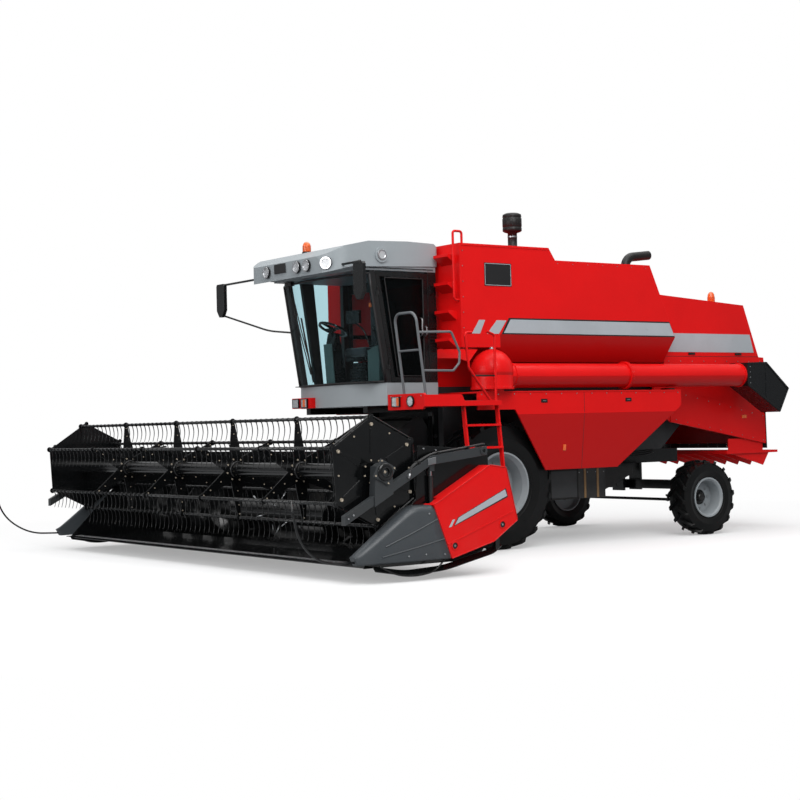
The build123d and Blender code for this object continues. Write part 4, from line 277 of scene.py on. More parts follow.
# Slots of the solids that get another finish than their name says
SLOT_SWAPS = {
    ("cab_frame", "cab_trim"): "cab_shell",
    ("door_glass", "window_glass"): "door_tint",
    ("handrails", "grey_paint"): "rail_grey",
    ("reel_carriers", "black_paint"): "grey_paint",
}
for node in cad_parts.values():
    for i, slot in enumerate(node.data.materials):
        slot_name = slot.name.split(".")[0]
        node.data.materials[i] = M[SLOT_SWAPS.get((node.name, slot_name), slot_name)]


# Mesh building

class Piece:
    """One mesh object of turned, swept and cut shapes, with Y as the distance behind the front axle."""

    def __init__(self, name, body, material):
        self.name, self.body = name, body
        self.bm = bmesh.new()
        self.mats = [material]
        self.current = 0

    def use(self, material):
        if material not in self.mats:
            self.mats.append(material)
        self.current = self.mats.index(material)
        return self

    def face(self, verts, smooth=False):
        try:
            f = self.bm.faces.new(verts)
        except ValueError:
            return None
        f.material_index = self.current
        f.smooth = smooth
        return f

    def skin(self, rings, smooth=False, flat=0):
        """Closed skin over rings of points. The last of each ring's sides stay flat, as many as flat says."""
        n = len(rings[0])
        for a, b in zip(rings, rings[1:]):
            for i in range(n):
                self.face([a[i], a[(i + 1) % n], b[(i + 1) % n], b[i]], smooth and i < n - flat)
        self.face(rings[0][::-1])
        self.face(rings[-1])
        return self

    def prism(self, outline, direction):
        """Solid between a flat outline of 3-D points and the same outline moved by direction."""
        moves = (Vector(), Vector(direction))
        return self.skin([[self.bm.verts.new(Vector(p) + move) for p in outline] for move in moves])

    def side_plate(self, outline, x, thickness):
        """Plate with (Y, Z) points as its outline, from x inwards or outwards."""
        return self.prism([(x, y, z) for y, z in outline], (thickness, 0, 0))

    def side_frame(self, y0, y1, z0, z1, width, x, thickness):
        for z in (z0, z1 - width):
            self.side_rect(y0, y1, z, z + width, x, thickness)
        for y in (y0, y1 - width):
            self.side_rect(y, y + width, z0, z1, x, thickness)
        return self

    def side_rect(self, y0, y1, z0, z1, x, thickness):
        return self.side_plate([(y0, z0), (y0, z1), (y1, z1), (y1, z0)], x, thickness)

    def block(self, center, size, turn=None):
        c, h = Vector(center), Vector(size) / 2
        corners = [Vector((sx * h.x, sy * h.y, -h.z)) for sx, sy in ((-1, -1), (1, -1), (1, 1), (-1, 1))]
        r = turn or Matrix.Identity(3)
        return self.prism([c + r @ p for p in corners], r @ Vector((0, 0, 2 * h.z)))

    def lathe(self, profile, origin, axis, sides=24, smooth=True, close=False):
        """Profile of (place along the axis, radius) turned round the axis."""
        o, k = Vector(origin), Vector(axis).normalized()
        u = k.orthogonal().normalized()
        v = k.cross(u)
        rings = []
        for along, radius in profile:
            if radius < 1e-6:
                rings.append([self.bm.verts.new(o + k * along)])
                continue
            rings.append([self.bm.verts.new(o + k * along + u * a + v * b)
                for a, b in circle(radius, sides)])
        pairs = list(zip(rings, rings[1:])) + ([(rings[-1], rings[0])] if close else [])
        for a, b in pairs:
            for i in range(sides):
                j = (i + 1) % sides
                if len(a) == 1 and len(b) > 1:
                    self.face([a[0], b[j], b[i]], smooth)
                elif len(b) == 1 and len(a) > 1:
                    self.face([a[i], a[j], b[0]], smooth)
                elif len(a) > 1:
                    self.face([a[i], a[j], b[j], b[i]], smooth)
        if not close:
            if len(rings[0]) > 1:
                self.face(rings[0][::-1])
            if len(rings[-1]) > 1:
                self.face(rings[-1])
        return self

    def rod(self, start, end, radius, sides=12):
        a, b = Vector(start), Vector(end)
        length = (b - a).length
        return self.lathe([(0, radius), (length, radius)], a, b - a, sides)

    def tube(self, points, radius, sides, bend=0.05, steps=5):
        """Round tube along points, its corners rounded with this bend radius."""
        path = rounded([Vector(p) for p in points], bend, steps)
        return self.sweep(path, circle(radius, sides), True)

    def sweep(self, path, section, smooth=False):
        rings = []
        tangent = (path[1] - path[0]).normalized()
        u = tangent.orthogonal().normalized()
        for i, p in enumerate(path):
            if 0 < i < len(path) - 1:
                t = ((path[i + 1] - p).normalized() + (p - path[i - 1]).normalized()).normalized()
            elif i == 0:
                t = (path[1] - path[0]).normalized()
            else:
                t = (path[-1] - path[-2]).normalized()
            u = (u - t * u.dot(t)).normalized()
            v = t.cross(u)
            rings.append([self.bm.verts.new(p + u * a + v * b) for a, b in section])
        return self.skin(rings, smooth)

    def border(self, corners, section, gap=0.0):
        """Bars along the sides of an outline, that end this share of a side before its corners."""
        for u, v in zip(corners, corners[1:] + corners[:1]):
            self.sweep([u.lerp(v, gap), u.lerp(v, 1 - gap)], section)
        return self

    def ring(self, center, axis, outer, inner, height, sides=28):
        """Flat ring standing on a face."""
        profile = [(0, inner), (0, outer), (height, outer), (height, inner)]
        return self.lathe(profile, center, axis, sides, False, True)

    def bolt(self, center, normal, radius):
        h = radius * 0.8
        return self.lathe([(0, radius), (h, radius), (h, radius * 0.55), (h * 0.7, 0)], center, normal, 6,
            False)

    def bolt_circle(self, center, axis, radius, count, size, start=0.0):
        k = Vector(axis).normalized()
        u = k.orthogonal().normalized()
        v = k.cross(u)
        for a, b in circle(radius, count, start):
            self.bolt(Vector(center) + u * a + v * b, axis, size)
        return self

    def side_bolts(self, x, start, end, count, size):
        """Row of bolts on a face that looks sideways, from one (Y, Z) point to another."""
        return self.bolt_row((x, *start), (x, *end), count, (math.copysign(1, x), 0, 0), size)

    def bolt_row(self, start, end, count, normal, size):
        for i in range(count):
            self.bolt(Vector(start).lerp(Vector(end), i / (count - 1)), normal, size)
        return self

    def done(self, bevel=0.0, segments=2):
        """Moves the piece to its place in the shared frame and fixes it to its body."""
        bmesh.ops.recalc_face_normals(self.bm, faces=self.bm.faces)
        self.bm.transform(Matrix.Translation((0, AXLE_Y, 0)))
        mesh = bpy.data.meshes.new(self.name)
        self.bm.to_mesh(mesh)
        self.bm.free()
        obj = bpy.data.objects.new(self.name, mesh)
        bpy.context.scene.collection.objects.link(obj)
        for m in self.mats:
            mesh.materials.append(M[m])
        if bevel:
            mod = obj.modifiers.new("bevel", "BEVEL")
            mod.width = bevel
            mod.segments = segments
            mod.limit_method = "ANGLE"
            mod.angle_limit = math.radians(35)
        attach(obj, self.body)
        return obj


def circle(radius, count, start=0.0):
    """Evenly spaced points on a circle."""
    turns = (start + 2 * math.pi * i / count for i in range(count))
    return [(radius * math.cos(a), radius * math.sin(a)) for a in turns]


def bar(a, b):
    """Section of a flat bar from half its width and half its height."""
    return [(-a, -b), (a, -b), (a, b), (-a, b)]


def turned(angle, axis):
    return Matrix.Rotation(angle, 3, axis)


def rounded(points, bend, steps):
    """Path with its corners replaced by arcs of about this radius."""
    out = [points[0]]
    for before, p, after in zip(points, points[1:], points[2:]):
        a, b = (before - p), (after - p)
        cut = min(bend, a.length * 0.48, b.length * 0.48)
        start, end = p + a.normalized() * cut, p + b.normalized() * cut
        for i in range(steps + 1):
            t = i / steps
            out.append(start * (1 - t) ** 2 + p * 2 * t * (1 - t) + end * t ** 2)
    out.append(points[-1])
    return out


def both(build):
    """Runs build(side) for the left (1) and the right (-1) of the machine."""
    for s in SIDE:
        build(s)


# Pieces

# Faces that trim lies on, as distances from the middle of the machine
TANK_X, SHIELD_X, HOOD_X, STRAW_X, COVER_X, SHEET_X = 1.45, 1.54, 1.2, 1.032, 3.68, 3.5
# Middle of the cab, its faces on the left and the right, and the unloading auger's post
CAB_MID, CAB_SIDES, AUGER_X, POST_Y = 0.07, {1: 1.03, -1: -0.89}, 1.45, -0.18
# Half the length of the reel between its end plates, and the number of tines on a bat
REEL_HALF, TINES = 3.44, 60
# Shaft of the reel and of the header auger, and pivot of the reel's arms: Y and Z
REEL, CROSS_AUGER, ARM_PIVOT = (-3.284, 1.089), (-2.26, 0.54), (-2.03, 1.262)


def stripes(s):
    """Silver stripe with its dark border, the two slanted blocks and the hood stripe."""
    word = SIDE[s]
    face_x = s * (TANK_X + 0.0005)
    p = Piece(f"tank_stripe_{word}", "chassis", "dark_decal")
    low, high = 2.614, 2.792
    p.side_plate([(-0.02, low - 0.004), (0.1, high + 0.018), (2.8, high + 0.018), (2.893, low - 0.004)],
        face_x, s * 0.0015)
    p.use("silver_decal").side_plate([(0.018, low + 0.012), (0.125, high), (2.8, high),
        (2.885, low + 0.012)], face_x, s * 0.003)
    for a, b, width in ((-0.471, -0.36, 0.091), (-0.243, -0.09, 0.15)):
        p.side_plate([(a, low), (b, high - 0.014), (b + width, high - 0.014), (a + width + 0.03, low)],
            face_x, s * 0.003)
    p.side_plate([(2.95, 2.432), (2.95, 2.682), (4.59, 2.682), (4.665, 2.432)], s * (HOOD_X + 0.0005),
        s * 0.003)
    p.done()
    plate = Piece(f"tank_plate_{word}", "chassis", "dark_decal")
    plate.side_rect(-0.262, 0.152, 3.19, 3.468, face_x, s * 0.004)
    plate.use("silver_decal").side_frame(-0.255, 0.145, 3.197, 3.461, 0.006, s * (TANK_X + 0.0045),
        s * 0.001)
    plate.done()


both(stripes)


def cab_lamps():
    p = Piece("lamp_bezels", "chassis", "cab_trim")
    turn = math.radians(32)
    slanted = Vector((math.sin(turn), -math.cos(turn), 0))
    lamps = [((x, -2.2, 3.44), FRONT) for x in (-0.36, 0.34, 0.56)]
    lamps.append((Vector((0.75, -1.9, 3.44)) + slanted * 0.3, slanted))
    for material, step in (("cab_trim", 0), ("lamp_chrome", 0.001)):
        p.use(material)
        for center, axis in lamps:
            p.ring(center, axis, 0.074 - 2 * step, 0.055 - step, 0.026 + 3 * step)
        p.ring((1.05, -1.48, 3.55), (1, 0, 0), 0.064 - 2 * step, 0.047 - step, 0.024 + 3 * step)
    p.use("roof_paint").ring((1.046, -1.48, 3.55), (1, 0, 0), 0.092, 0.062, 0.022)
    p.use("dark_decal").prism([(-0.187, -2.201, 3.405), (0.072, -2.201, 3.405), (0.072, -2.203, 3.52),
        (-0.187, -2.203, 3.52)], (0, -0.005, 0))
    p.use("cab_trim")
    for x, z, w, h in ((1.21, 1.815, 0.15, 0.11), (-0.69, 1.846, 0.14, 0.105), (-0.49, 1.846, 0.14, 0.105)):
        y = -1.42 if x > 0 else -1.62
        for side in (1, -1):
            p.block((x + side * w / 2, y - 0.012, z), (0.008, 0.024, h))
            p.block((x, y - 0.012, z + side * h / 2), (w, 0.024, 0.008))
    p.ring((1.5, -1.42, 1.815), FRONT, 0.066, 0.056, 0.024)
    p.use("amber_lens").block((-0.49, -1.64, 1.846), (0.05, 0.004, 0.09))
    p.block((1.253, -1.441, 1.815), (0.05, 0.004, 0.095))
    p.done(0.0015)


def cab_outside():
    p = Piece("windscreen_seal", "chassis", "hose_rubber")

    def screen(x, z):
        """Place on the outer face of the bowed screen."""
        half, bow = 0.96, 0.15
        radius = (half ** 2 + bow ** 2) / (2 * bow)
        y = -1.58 + radius - math.sqrt(radius ** 2 - (x - CAB_MID) ** 2)
        return Vector((x, y - 0.008 - 0.159 * (z - 2.05), z))

    def strip(points, radius):
        p.sweep(points, circle(radius, 8), True)

    xs = [-0.885 + 1.91 * i / 24 for i in range(25)]
    strip([screen(x, 2.062) for x in xs], 0.014)
    strip([screen(x, 3.33) for x in xs], 0.014)
    for x in (-0.885, 1.025):
        strip([screen(x, 2.062 + 1.268 * i / 8) for i in range(9)], 0.016)
    for x0, x1, x2 in ((-0.62, -0.5, -0.36), (-0.56, -0.44, -0.3)):
        a, b, c = screen(x0, 3.32), screen(x1, 2.75), screen(x2, 2.2)
        p.tube([place + Vector((0, -0.025, 0)) for place in (a, b, c)], 0.007, 8)
    p.use("cab_trim").block(screen(-0.59, 3.335) + Vector((0, -0.02, 0)), (0.14, 0.05, 0.05))
    blade = [screen(x, z) + Vector((0, -0.016, 0)) for x, z in ((-0.4, 2.9), (-0.34, 2.1))]
    p.sweep(blade, bar(0.008, 0.012))
    p.done()

    q = Piece("cab_fittings", "chassis", "cab_trim")
    # panel of louvres behind the door, on the left and on the right
    for s, side in CAB_SIDES.items():
        x = side + s * 0.0005
        q.side_rect(-0.8, -0.69, 2.07, 3.34, x, s * 0.004)
        for i in range(9):
            z = 2.42 + 0.035 * i
            q.block((x + s * 0.007, -0.745, z), (0.012, 0.08, 0.012), turned(s * 0.5, "Y"))
        q.block((x + s * 0.006, -0.745, 3.16), (0.012, 0.06, 0.1))
    # roof: hatch, air grille and side strips
    q.use("roof_paint").block((CAB_MID, -1.15, 3.727), (0.86, 0.62, 0.018))
    q.use("cab_trim")
    for i in range(8):
        q.block((CAB_MID, -0.655, 3.5 + 0.018 * i), (1.1, 0.012, 0.009))
    for s, side in CAB_SIDES.items():
        q.block((side + s * 0.0205, -1.28, 3.395), (0.006, 1.1, 0.012))
    # sill panel: screws
    q.use("roof_paint")
    for s, side in CAB_SIDES.items():
        q.side_bolts(side + s * 0.001, (-1.38, 1.8), (-0.72, 1.8), 6, 0.007)
    q.use("bolt_steel").tube([(1.045, -0.93, 2.6), (1.085, -0.93, 2.62), (1.085, -0.93, 2.8),
        (1.045, -0.93, 2.82)], 0.009, 8, 0.02)
    q.done(0.0015)

    d = Piece("door_fittings", "door", "cab_trim")
    d.block((1.038, -0.86, 2.66), (0.02, 0.05, 0.16))
    d.use("bolt_steel").tube([(1.046, -0.86, 2.6), (1.076, -0.86, 2.615), (1.076, -0.86, 2.705),
        (1.046, -0.86, 2.72)], 0.008, 8, 0.02)
    d.use("hose_rubber")
    inner = [(-1.262, 2.125), (-1.43, 3.285), (-0.875, 3.285), (-0.875, 2.125)]
    loop = [Vector((1.032, y, z)) for y, z in inner]
    d.border(loop, bar(0.006, 0.006))
    d.use("cab_trim").tube([(0.985, -1.22, 2.3), (0.93, -1.22, 2.32), (0.93, -0.95, 2.62),
        (0.985, -0.95, 2.64)], 0.012, 8, 0.05)
    d.done(0.002)


def cab_inside():
    p = Piece("cab_console", "chassis", "cab_green")
    p.prism([(0.42, -1.28, 2.05), (0.66, -1.28, 2.05), (0.66, -1.28, 2.52), (0.42, -1.28, 2.46)],
        (0, 0.52, 0))
    p.prism([(-0.15, -1.5, 2.055), (0.03, -1.5, 2.055), (0.03, -1.535, 2.56), (-0.15, -1.535, 2.56)],
        (0, -0.012, 0))
    p.use("cab_trim").block((0.54, -1.12, 2.53), (0.13, 0.3, 0.05))
    p.lathe([(0, 0.01), (0.12, 0.013), (0.15, 0.028), (0.19, 0.024), (0.21, 0)], (0.54, -1.22, 2.55),
        (0, -0.2, 1), 12)
    p.block((0.42, -1.47, 2.86), (0.2, 0.05, 0.16), turned(0.3, "Z"))
    p.tube([(0.66, -1.4, 2.5), (0.6, -1.45, 2.7), (0.42, -1.46, 2.8)], 0.01, 8)
    for i in range(6):
        p.lathe([(0, 0.01), (0.01, 0.01), (0.014, 0)], (0.48 + 0.028 * i, -1.0, 2.505), UP, 10)
    p.use("lamp_chrome").block((0.42, -1.442, 2.86), (0.17, 0.004, 0.13), turned(0.3, "Z"))
    p.use("amber_lens").block((0.8, -1.46, 2.98), (0.1, 0.02, 0.05))
    p.use("cab_trim").block((CAB_MID, -1.18, 2.056), (1.7, 0.8, 0.01))
    for i in range(14):
        p.block((-0.7 + 0.12 * i, -1.18, 2.063), (0.02, 0.76, 0.006))
    p.block((0.62, -0.86, 2.25), (0.3, 0.24, 0.38))
    p.done(0.006)
    stand = Piece("seat_base", "chassis", "cab_trim")
    stand.prism([(-0.1, -1.17, 2.052), (0.24, -1.17, 2.052), (0.2, -1.17, 2.33), (-0.06, -1.17, 2.33)],
        (0, 0.34, 0))
    for i in range(6):
        z = 2.1 + 0.04 * i
        stand.block((CAB_MID, -1.0, z), (0.35, 0.38, 0.014))
    stand.block((CAB_MID, -1.0, 2.37), (0.44, 0.44, 0.05))
    stand.block((CAB_MID, -0.735, 2.8), (0.4, 0.03, 0.6))
    for x in (-0.22, 0.36):
        stand.block((x, -0.93, 2.66), (0.06, 0.3, 0.05))
        stand.block((x, -0.79, 2.56), (0.03, 0.05, 0.2))
    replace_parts(stand.done(0.008), "operator_seat")
    pads = {
        "seat_cushion": [((CAB_MID, -1.01, 2.455), (0.46, 0.46, 0.11))],
        "seat_back": [
            ((CAB_MID, -0.8, 2.8), (0.44, 0.1, 0.58)),
            ((CAB_MID, -0.8, 3.14), (0.26, 0.09, 0.12)),
        ],
    }
    for name, blocks in pads.items():
        pad = Piece(name, "chassis", "seat_cloth")
        for center, size in blocks:
            pad.block(center, size)
        obj = pad.done(0.035, 4)
        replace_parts(obj, "operator_seat")


cab_lamps()
cab_outside()
cab_inside()


def wheel_parts(word, body, s, x, y, r, rim_r, dish, count, bolt_r, hub):
    """Hub cap, nuts and valve, and the rings on the tyre's outer side."""
    c = Vector((s * x, y, r))
    axis = (s, 0, 0)
    rear = hub == "rear"
    p = Piece(f"{word}_hub", body, "cab_trim" if rear else "rim_paint")
    if rear:
        profile = [(-0.03, 0.105), (0.004, 0.1), (0.01, 0.07), (0.05, 0.062), (0.062, 0.048), (0.066, 0)]
    else:
        profile = [(-0.02, 0.19), (0.02, 0.18), (0.03, 0.125), (0.085, 0.112), (0.1, 0.09), (0.104, 0)]
    disc = c + Vector((s * dish, 0, 0))
    p.lathe(profile, disc, axis, 28 if rear else 32)
    p.use("bolt_steel").bolt_circle(disc, axis, bolt_r, count, 0.014 if rear else 0.018)
    p.use("hose_rubber").rod(c + Vector((s * (dish + 0.01), 0, rim_r * 0.82)),
        c + Vector((s * (dish + 0.06), 0, rim_r * 0.88)), 0.006, 8)
    p.done(0.002)
    w = Piece(f"{word}_sidewall", body, "tyre_rubber")
    half = 0.16 if rear else 0.235
    for share, height in ((0.1, 0.006), (0.3, 0.004)):
        radius = rim_r + (r - rim_r) * share + 0.012
        bulge = half * (0.78 + 0.18 * min(1.0, share / 0.45))
        w.lathe([(bulge - 0.01, radius - 0.008), (bulge + height, radius - 0.005),
            (bulge + height, radius + 0.005), (bulge - 0.01, radius + 0.008)], c, axis, 64, close=True)
    w.done()


for s, word in SIDE.items():
    wheel_parts(f"front_{word}", f"front_wheel_{word}", s, 1.18, 0, 0.785, 0.405, -0.036, 10, 0.27, "front")
    wheel_parts(f"rear_{word}", f"rear_wheel_{word}", s, 1.41, 3.346, 0.494, 0.262, -0.04, 8, 0.145, "rear")


def mirror_pieces():
    p = Piece("mirror_housings", "chassis", "cab_trim")
    wide, high = 0.2, 0.43
    half = [(0.42, 0.5), (0.5, 0.44), (0.5, -0.3), (0.18, -0.5)]
    outline = half + [(-a, b) for a, b in half[::-1]]
    right, left, bar_y = -1.85, 1.38, -2.01
    for x, z in ((right, 3.22), (left, 3.2)):
        p.use("cab_trim").prism([(x + a * wide, -2.038, z + b * high) for a, b in outline], (0, 0.046, 0))
        p.use("lamp_chrome").prism([(x + a * wide * 0.88, -1.9915, z + b * high * 0.9) for a, b in outline],
            (0, 0.003, 0))
    p.use("cab_trim").tube([(-0.8, bar_y, 3.42), (right, bar_y, 3.42)], 0.014, 12)
    p.tube([(0.96, bar_y, 3.42), (left, bar_y, 3.42)], 0.014, 12)
    p.tube([(-0.89, -1.506, 2.75), (-1.19, -1.7, 2.79), (-1.8, bar_y, 3.02)], 0.012, 12, 0.1)
    for x in (right, left):
        p.rod((x, bar_y, 3.34), (x, bar_y, 3.435), 0.019, 12)
    p.block((-0.905, -1.506, 2.75), (0.03, 0.06, 0.08))
    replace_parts(p.done(0.01, 3), "mirrors")

    b = Piece("beacon_domes", "chassis", "amber_lens")
    for x, y, z, top in ((0.0, -1.85, 3.648, 0.152), (0.9, 4.17, 3.112, 0.178)):
        c = (x, y, z)
        b.use("cab_trim").lathe([(0, 0.06), (0.02, 0.06), (0.026, 0.054), (0.03, 0)], c, UP, 28)
        b.use("amber_lens").lathe([(0.026, 0.052), (top * 0.62, 0.049), (top * 0.8, 0.043),
            (top * 0.92, 0.03), (top * 0.985, 0.012), (top, 0)], c, UP, 28)
        for i in range(5):
            b.ring((x, y, z + 0.035 + 0.015 * i), UP, 0.0535, 0.047, 0.006)
    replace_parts(b.done(), "beacons")


def body_trim(s):
    word = SIDE[s]
    p = Piece(f"side_trim_{word}", "chassis", "red_paint")
    x = s * (SHIELD_X + 0.0002)
    # turned edge and screws along the shelf, joint between the two sheets, latches, reflectors
    p.side_rect(-0.478, 2.888, 1.905, 1.921, x, s * 0.006)
    p.use("bolt_steel").side_bolts(x, (-0.42, 1.885), (2.83, 1.885), 14, 0.008)
    p.use("dark_decal").side_rect(1.2, 1.206, 1.65, 1.9, x, s * 0.001)
    slope = (1.54 - 1.455) / (1.64 - 0.95)
    foot = [(s * (1.5404 - slope * (1.64 - z)), 1.2, z) for z in (1.638, 0.955)]
    p.prism([foot[0], foot[1], (foot[1][0], 1.206, foot[1][2]), (foot[0][0], 1.206, foot[0][2])],
        (s * 0.001, 0, 0))
    for y in (0.55, 1.95):
        p.use("cab_trim").block((s * 1.543, y, 1.8), (0.006, 0.1, 0.045))
        p.use("bolt_steel").block((s * 1.548, y, 1.8), (0.006, 0.05, 0.012))
    p.use("amber_lens").block((s * (1.54 - slope * 0.42 + 0.004), 0.9, 1.22), (0.008, 0.045, 0.075),
        turned(math.atan(slope) * s, "Y"))
    p.block((s * 1.036, 4.62, 1.55), (0.008, 0.09, 0.045))
    # tank: seams and screws
    p.use("red_paint")
    xt = s * (TANK_X + 0.0002)
    p.side_rect(-0.628, 0.756, 3.66, 3.687, xt, s * 0.005)
    p.side_rect(-0.628, -0.606, 2.616, 3.66, xt, s * 0.004)
    p.use("bolt_steel").side_bolts(xt, (-0.59, 2.68), (-0.59, 3.6), 6, 0.007)
    p.side_bolts(xt, (0.9, 3.5), (2.4, 3.5), 7, 0.006)
    # hood: joint, handles and screws, then the screws of the straw hood
    p.use("dark_decal").side_rect(2.93, 4.757, 2.372, 2.378, s * (HOOD_X + 0.0003), s * 0.001)
    p.use("cab_trim")
    for y in (3.45, 4.35):
        p.block((s * 1.206, y, 2.41), (0.012, 0.12, 0.028))
    p.use("bolt_steel").side_bolts(s * (HOOD_X + 0.0002), (3.02, 2.31), (4.78, 2.31), 9, 0.007)
    p.side_bolts(s * (STRAW_X + 0.0002), (3.28, 1.9), (5.0, 1.555), 9, 0.007)
    p.side_bolts(s * (STRAW_X + 0.0002), (3.3, 1.53), (5.0, 1.215), 9, 0.007)
    p.done(0.001, 1)


def rear_end():
    """Rear face: curtain, lamps, blank plate, hood grilles and the rotary screen."""
    p = Piece("rear_curtain", "chassis", "hose_rubber")
    for i in range(11):
        x = -0.95 + 0.19 * i
        p.prism([(x - 0.092, 5.045, 1.72), (x + 0.092, 5.045, 1.72), (x + 0.092, 5.06, 1.1),
            (x - 0.092, 5.06, 1.1)], (0, 0.006, 0))
    p.use("bolt_steel").block((0, 5.056, 1.705), (2.0, 0.006, 0.035))
    p.bolt_row((-0.95, 5.059, 1.705), (0.95, 5.059, 1.705), 12, BACK, 0.008)
    p.done()
    q = Piece("rear_lamps", "chassis", "cab_trim")
    for s in SIDE:
        q.use("cab_trim").block((s * 0.86, 5.072, 1.92), (0.2, 0.024, 0.11))
        q.use("red_lens").block((s * 0.91, 5.087, 1.92), (0.085, 0.01, 0.09))
        q.use("amber_lens").block((s * 0.815, 5.087, 1.92), (0.085, 0.01, 0.09))
        q.use("red_lens").lathe([(0, 0.035), (0.008, 0.033), (0.01, 0)], (s * 0.62, 5.06, 1.92), BACK, 20)
    q.use("white_plastic").block((0, 5.064, 1.93), (0.5, 0.006, 0.13))
    q.done(0.003)
    g = Piece("hood_grilles", "chassis", "cab_trim")
    slope = (4.76 - 4.48) / (3.085 - 2.37)
    for i in range(14):
        z = 2.5 + 0.036 * i
        y = 4.76 - (z - 2.37) * slope
        g.block((0, y + 0.006, z), (1.3, 0.016, 0.018), turned(-0.5, "X"))
    for i in range(12):
        g.block((0, 3.35 + 0.05 * i, 3.158 - 0.033 * (0.4 + 0.05 * i)), (0.9, 0.02, 0.012))
    screen = Vector((-HOOD_X - 0.0002, 3.85, 2.76))
    profile = [(0, 0.33), (0.02, 0.33), (0.035, 0.315), (0.035, 0.05), (0.045, 0.04), (0.045, 0)]
    g.use("mesh_screen").lathe(profile, screen, (-1, 0, 0), 48)
    g.use("cab_trim").ring(screen, (-1, 0, 0), 0.36, 0.33, 0.03, 48)
    for a, b in circle(0.19, 6):
        g.block(screen + Vector((-0.0378, a, b)), (0.008, 0.28, 0.022), turned(math.atan2(b, a), "X"))
    g.done(0.001, 1)


def auger_trim():
    p = Piece("auger_flanges", "unloading_auger", "red_paint")
    z = 2.11
    p.ring((AUGER_X, 0.085, z), BACK, 0.159, 0.149, 0.03, 40)
    for off in (0, 0.024):
        p.ring((AUGER_X, 1.95 + off, z), BACK, 0.178, 0.149, 0.018, 40)
    p.use("bolt_steel").bolt_circle((AUGER_X, 1.992, z), BACK, 0.166, 12, 0.008)
    p.use("red_paint").ring((AUGER_X, POST_Y, 1.945), UP, 0.262, 0.249, 0.03, 40)
    p.use("bolt_steel").bolt_circle((AUGER_X, POST_Y, 1.972), UP, 0.2555, 14, 0.006)
    p.lathe([(0, 0.045), (0.01, 0.045), (0.012, 0.02), (0.026, 0.018), (0.028, 0)],
        (AUGER_X, POST_Y, 2.428), UP, 16)
    p.done(0.001, 1)
    q = Piece("spout_ribs", "unloading_auger", "spout_rubber")
    for s in SIDE:
        x = AUGER_X + s * 0.165
        ribs = [[(4.09, 2.25), (4.09, 2.275), (4.45, 2.284), (4.445, 2.258)],
            [(4.445, 2.262), (4.452, 2.284), (4.888, 1.926), (4.87, 1.905)],
            [(4.868, 1.928), (4.888, 1.926), (4.702, 1.604), (4.69, 1.622)],
            [(4.085, 1.962), (4.085, 1.99), (4.695, 1.64), (4.69, 1.612)]]
        for outline in ribs:
            q.side_plate(outline, x, s * 0.01)
        q.side_plate([(4.43, 1.79), (4.43, 2.262), (4.448, 2.262), (4.448, 1.78)], x, s * 0.006)
        q.use("bolt_steel").side_bolts(x, (4.13, 2.0), (4.13, 2.22), 4, 0.008)
        q.use("spout_rubber")
    q.done(0.002, 1)
    # cradle on which the tube rests, at the rear of the left shelf
    cradle = Piece("auger_cradle", "chassis", "cab_trim")
    cradle.block((AUGER_X, 2.74, 1.932), (0.16, 0.1, 0.02)).done(0.002)


def intake_trim():
    p = Piece("precleaner", "chassis", "pipe_metal")
    base = Vector((0.9, 0.64, 3.69))
    p.lathe([(0, 0.08), (0.012, 0.08), (0.012, 0.059), (0.235, 0.059), (0.25, 0.105), (0.262, 0.121),
        (0.3, 0.121), (0.306, 0.114), (0.312, 0.121), (0.42, 0.121), (0.43, 0.112), (0.438, 0.121),
        (0.47, 0.115), (0.486, 0.08), (0.49, 0)], base, UP, 40)
    for a, b in circle(0.1195, 20):
        p.block(base + Vector((a, b, 0.365)), (0.004, 0.01, 0.09), turned(math.atan2(b, a), "Z"))
    p.use("bolt_steel").ring(base + Vector((0, 0, 0.18)), UP, 0.0615, 0.058, 0.018)
    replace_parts(p.done(), "air_intake")
    q = Piece("exhaust_clamp", "chassis", "bolt_steel")
    x, y = 0.45, 2.99
    q.ring((x, y, 3.22), UP, 0.068, 0.061, 0.022)
    q.ring((x, y, 3.178), UP, 0.11, 0.062, 0.012)
    q.done()


mirror_pieces()
both(body_trim)
rear_end()
auger_trim()
intake_trim()


COVER_BAR = [(-2.434, 0.603), (-1.83, 0.86), (-1.806, 0.793), (-2.483, 0.531)]
COVER_GROW = [(-0.012, 0), (0.012, 0.012), (0.012, -0.012), (-0.012, -0.012)]
COVER_BLOCK = [(-2.562, 0.51), (-2.513, 0.583), (-2.479, 0.591), (-2.524, 0.516)]
COVER_LATCHES = [(-2.49, 0.324), (-1.875, 0.502)]


def nose_x(y):
    """Outer face of the tapered nose at this distance behind the front axle."""
    if y > -2.95:
        return COVER_X
    return 3.605 + (y + 3.56) / 0.61 * 0.075


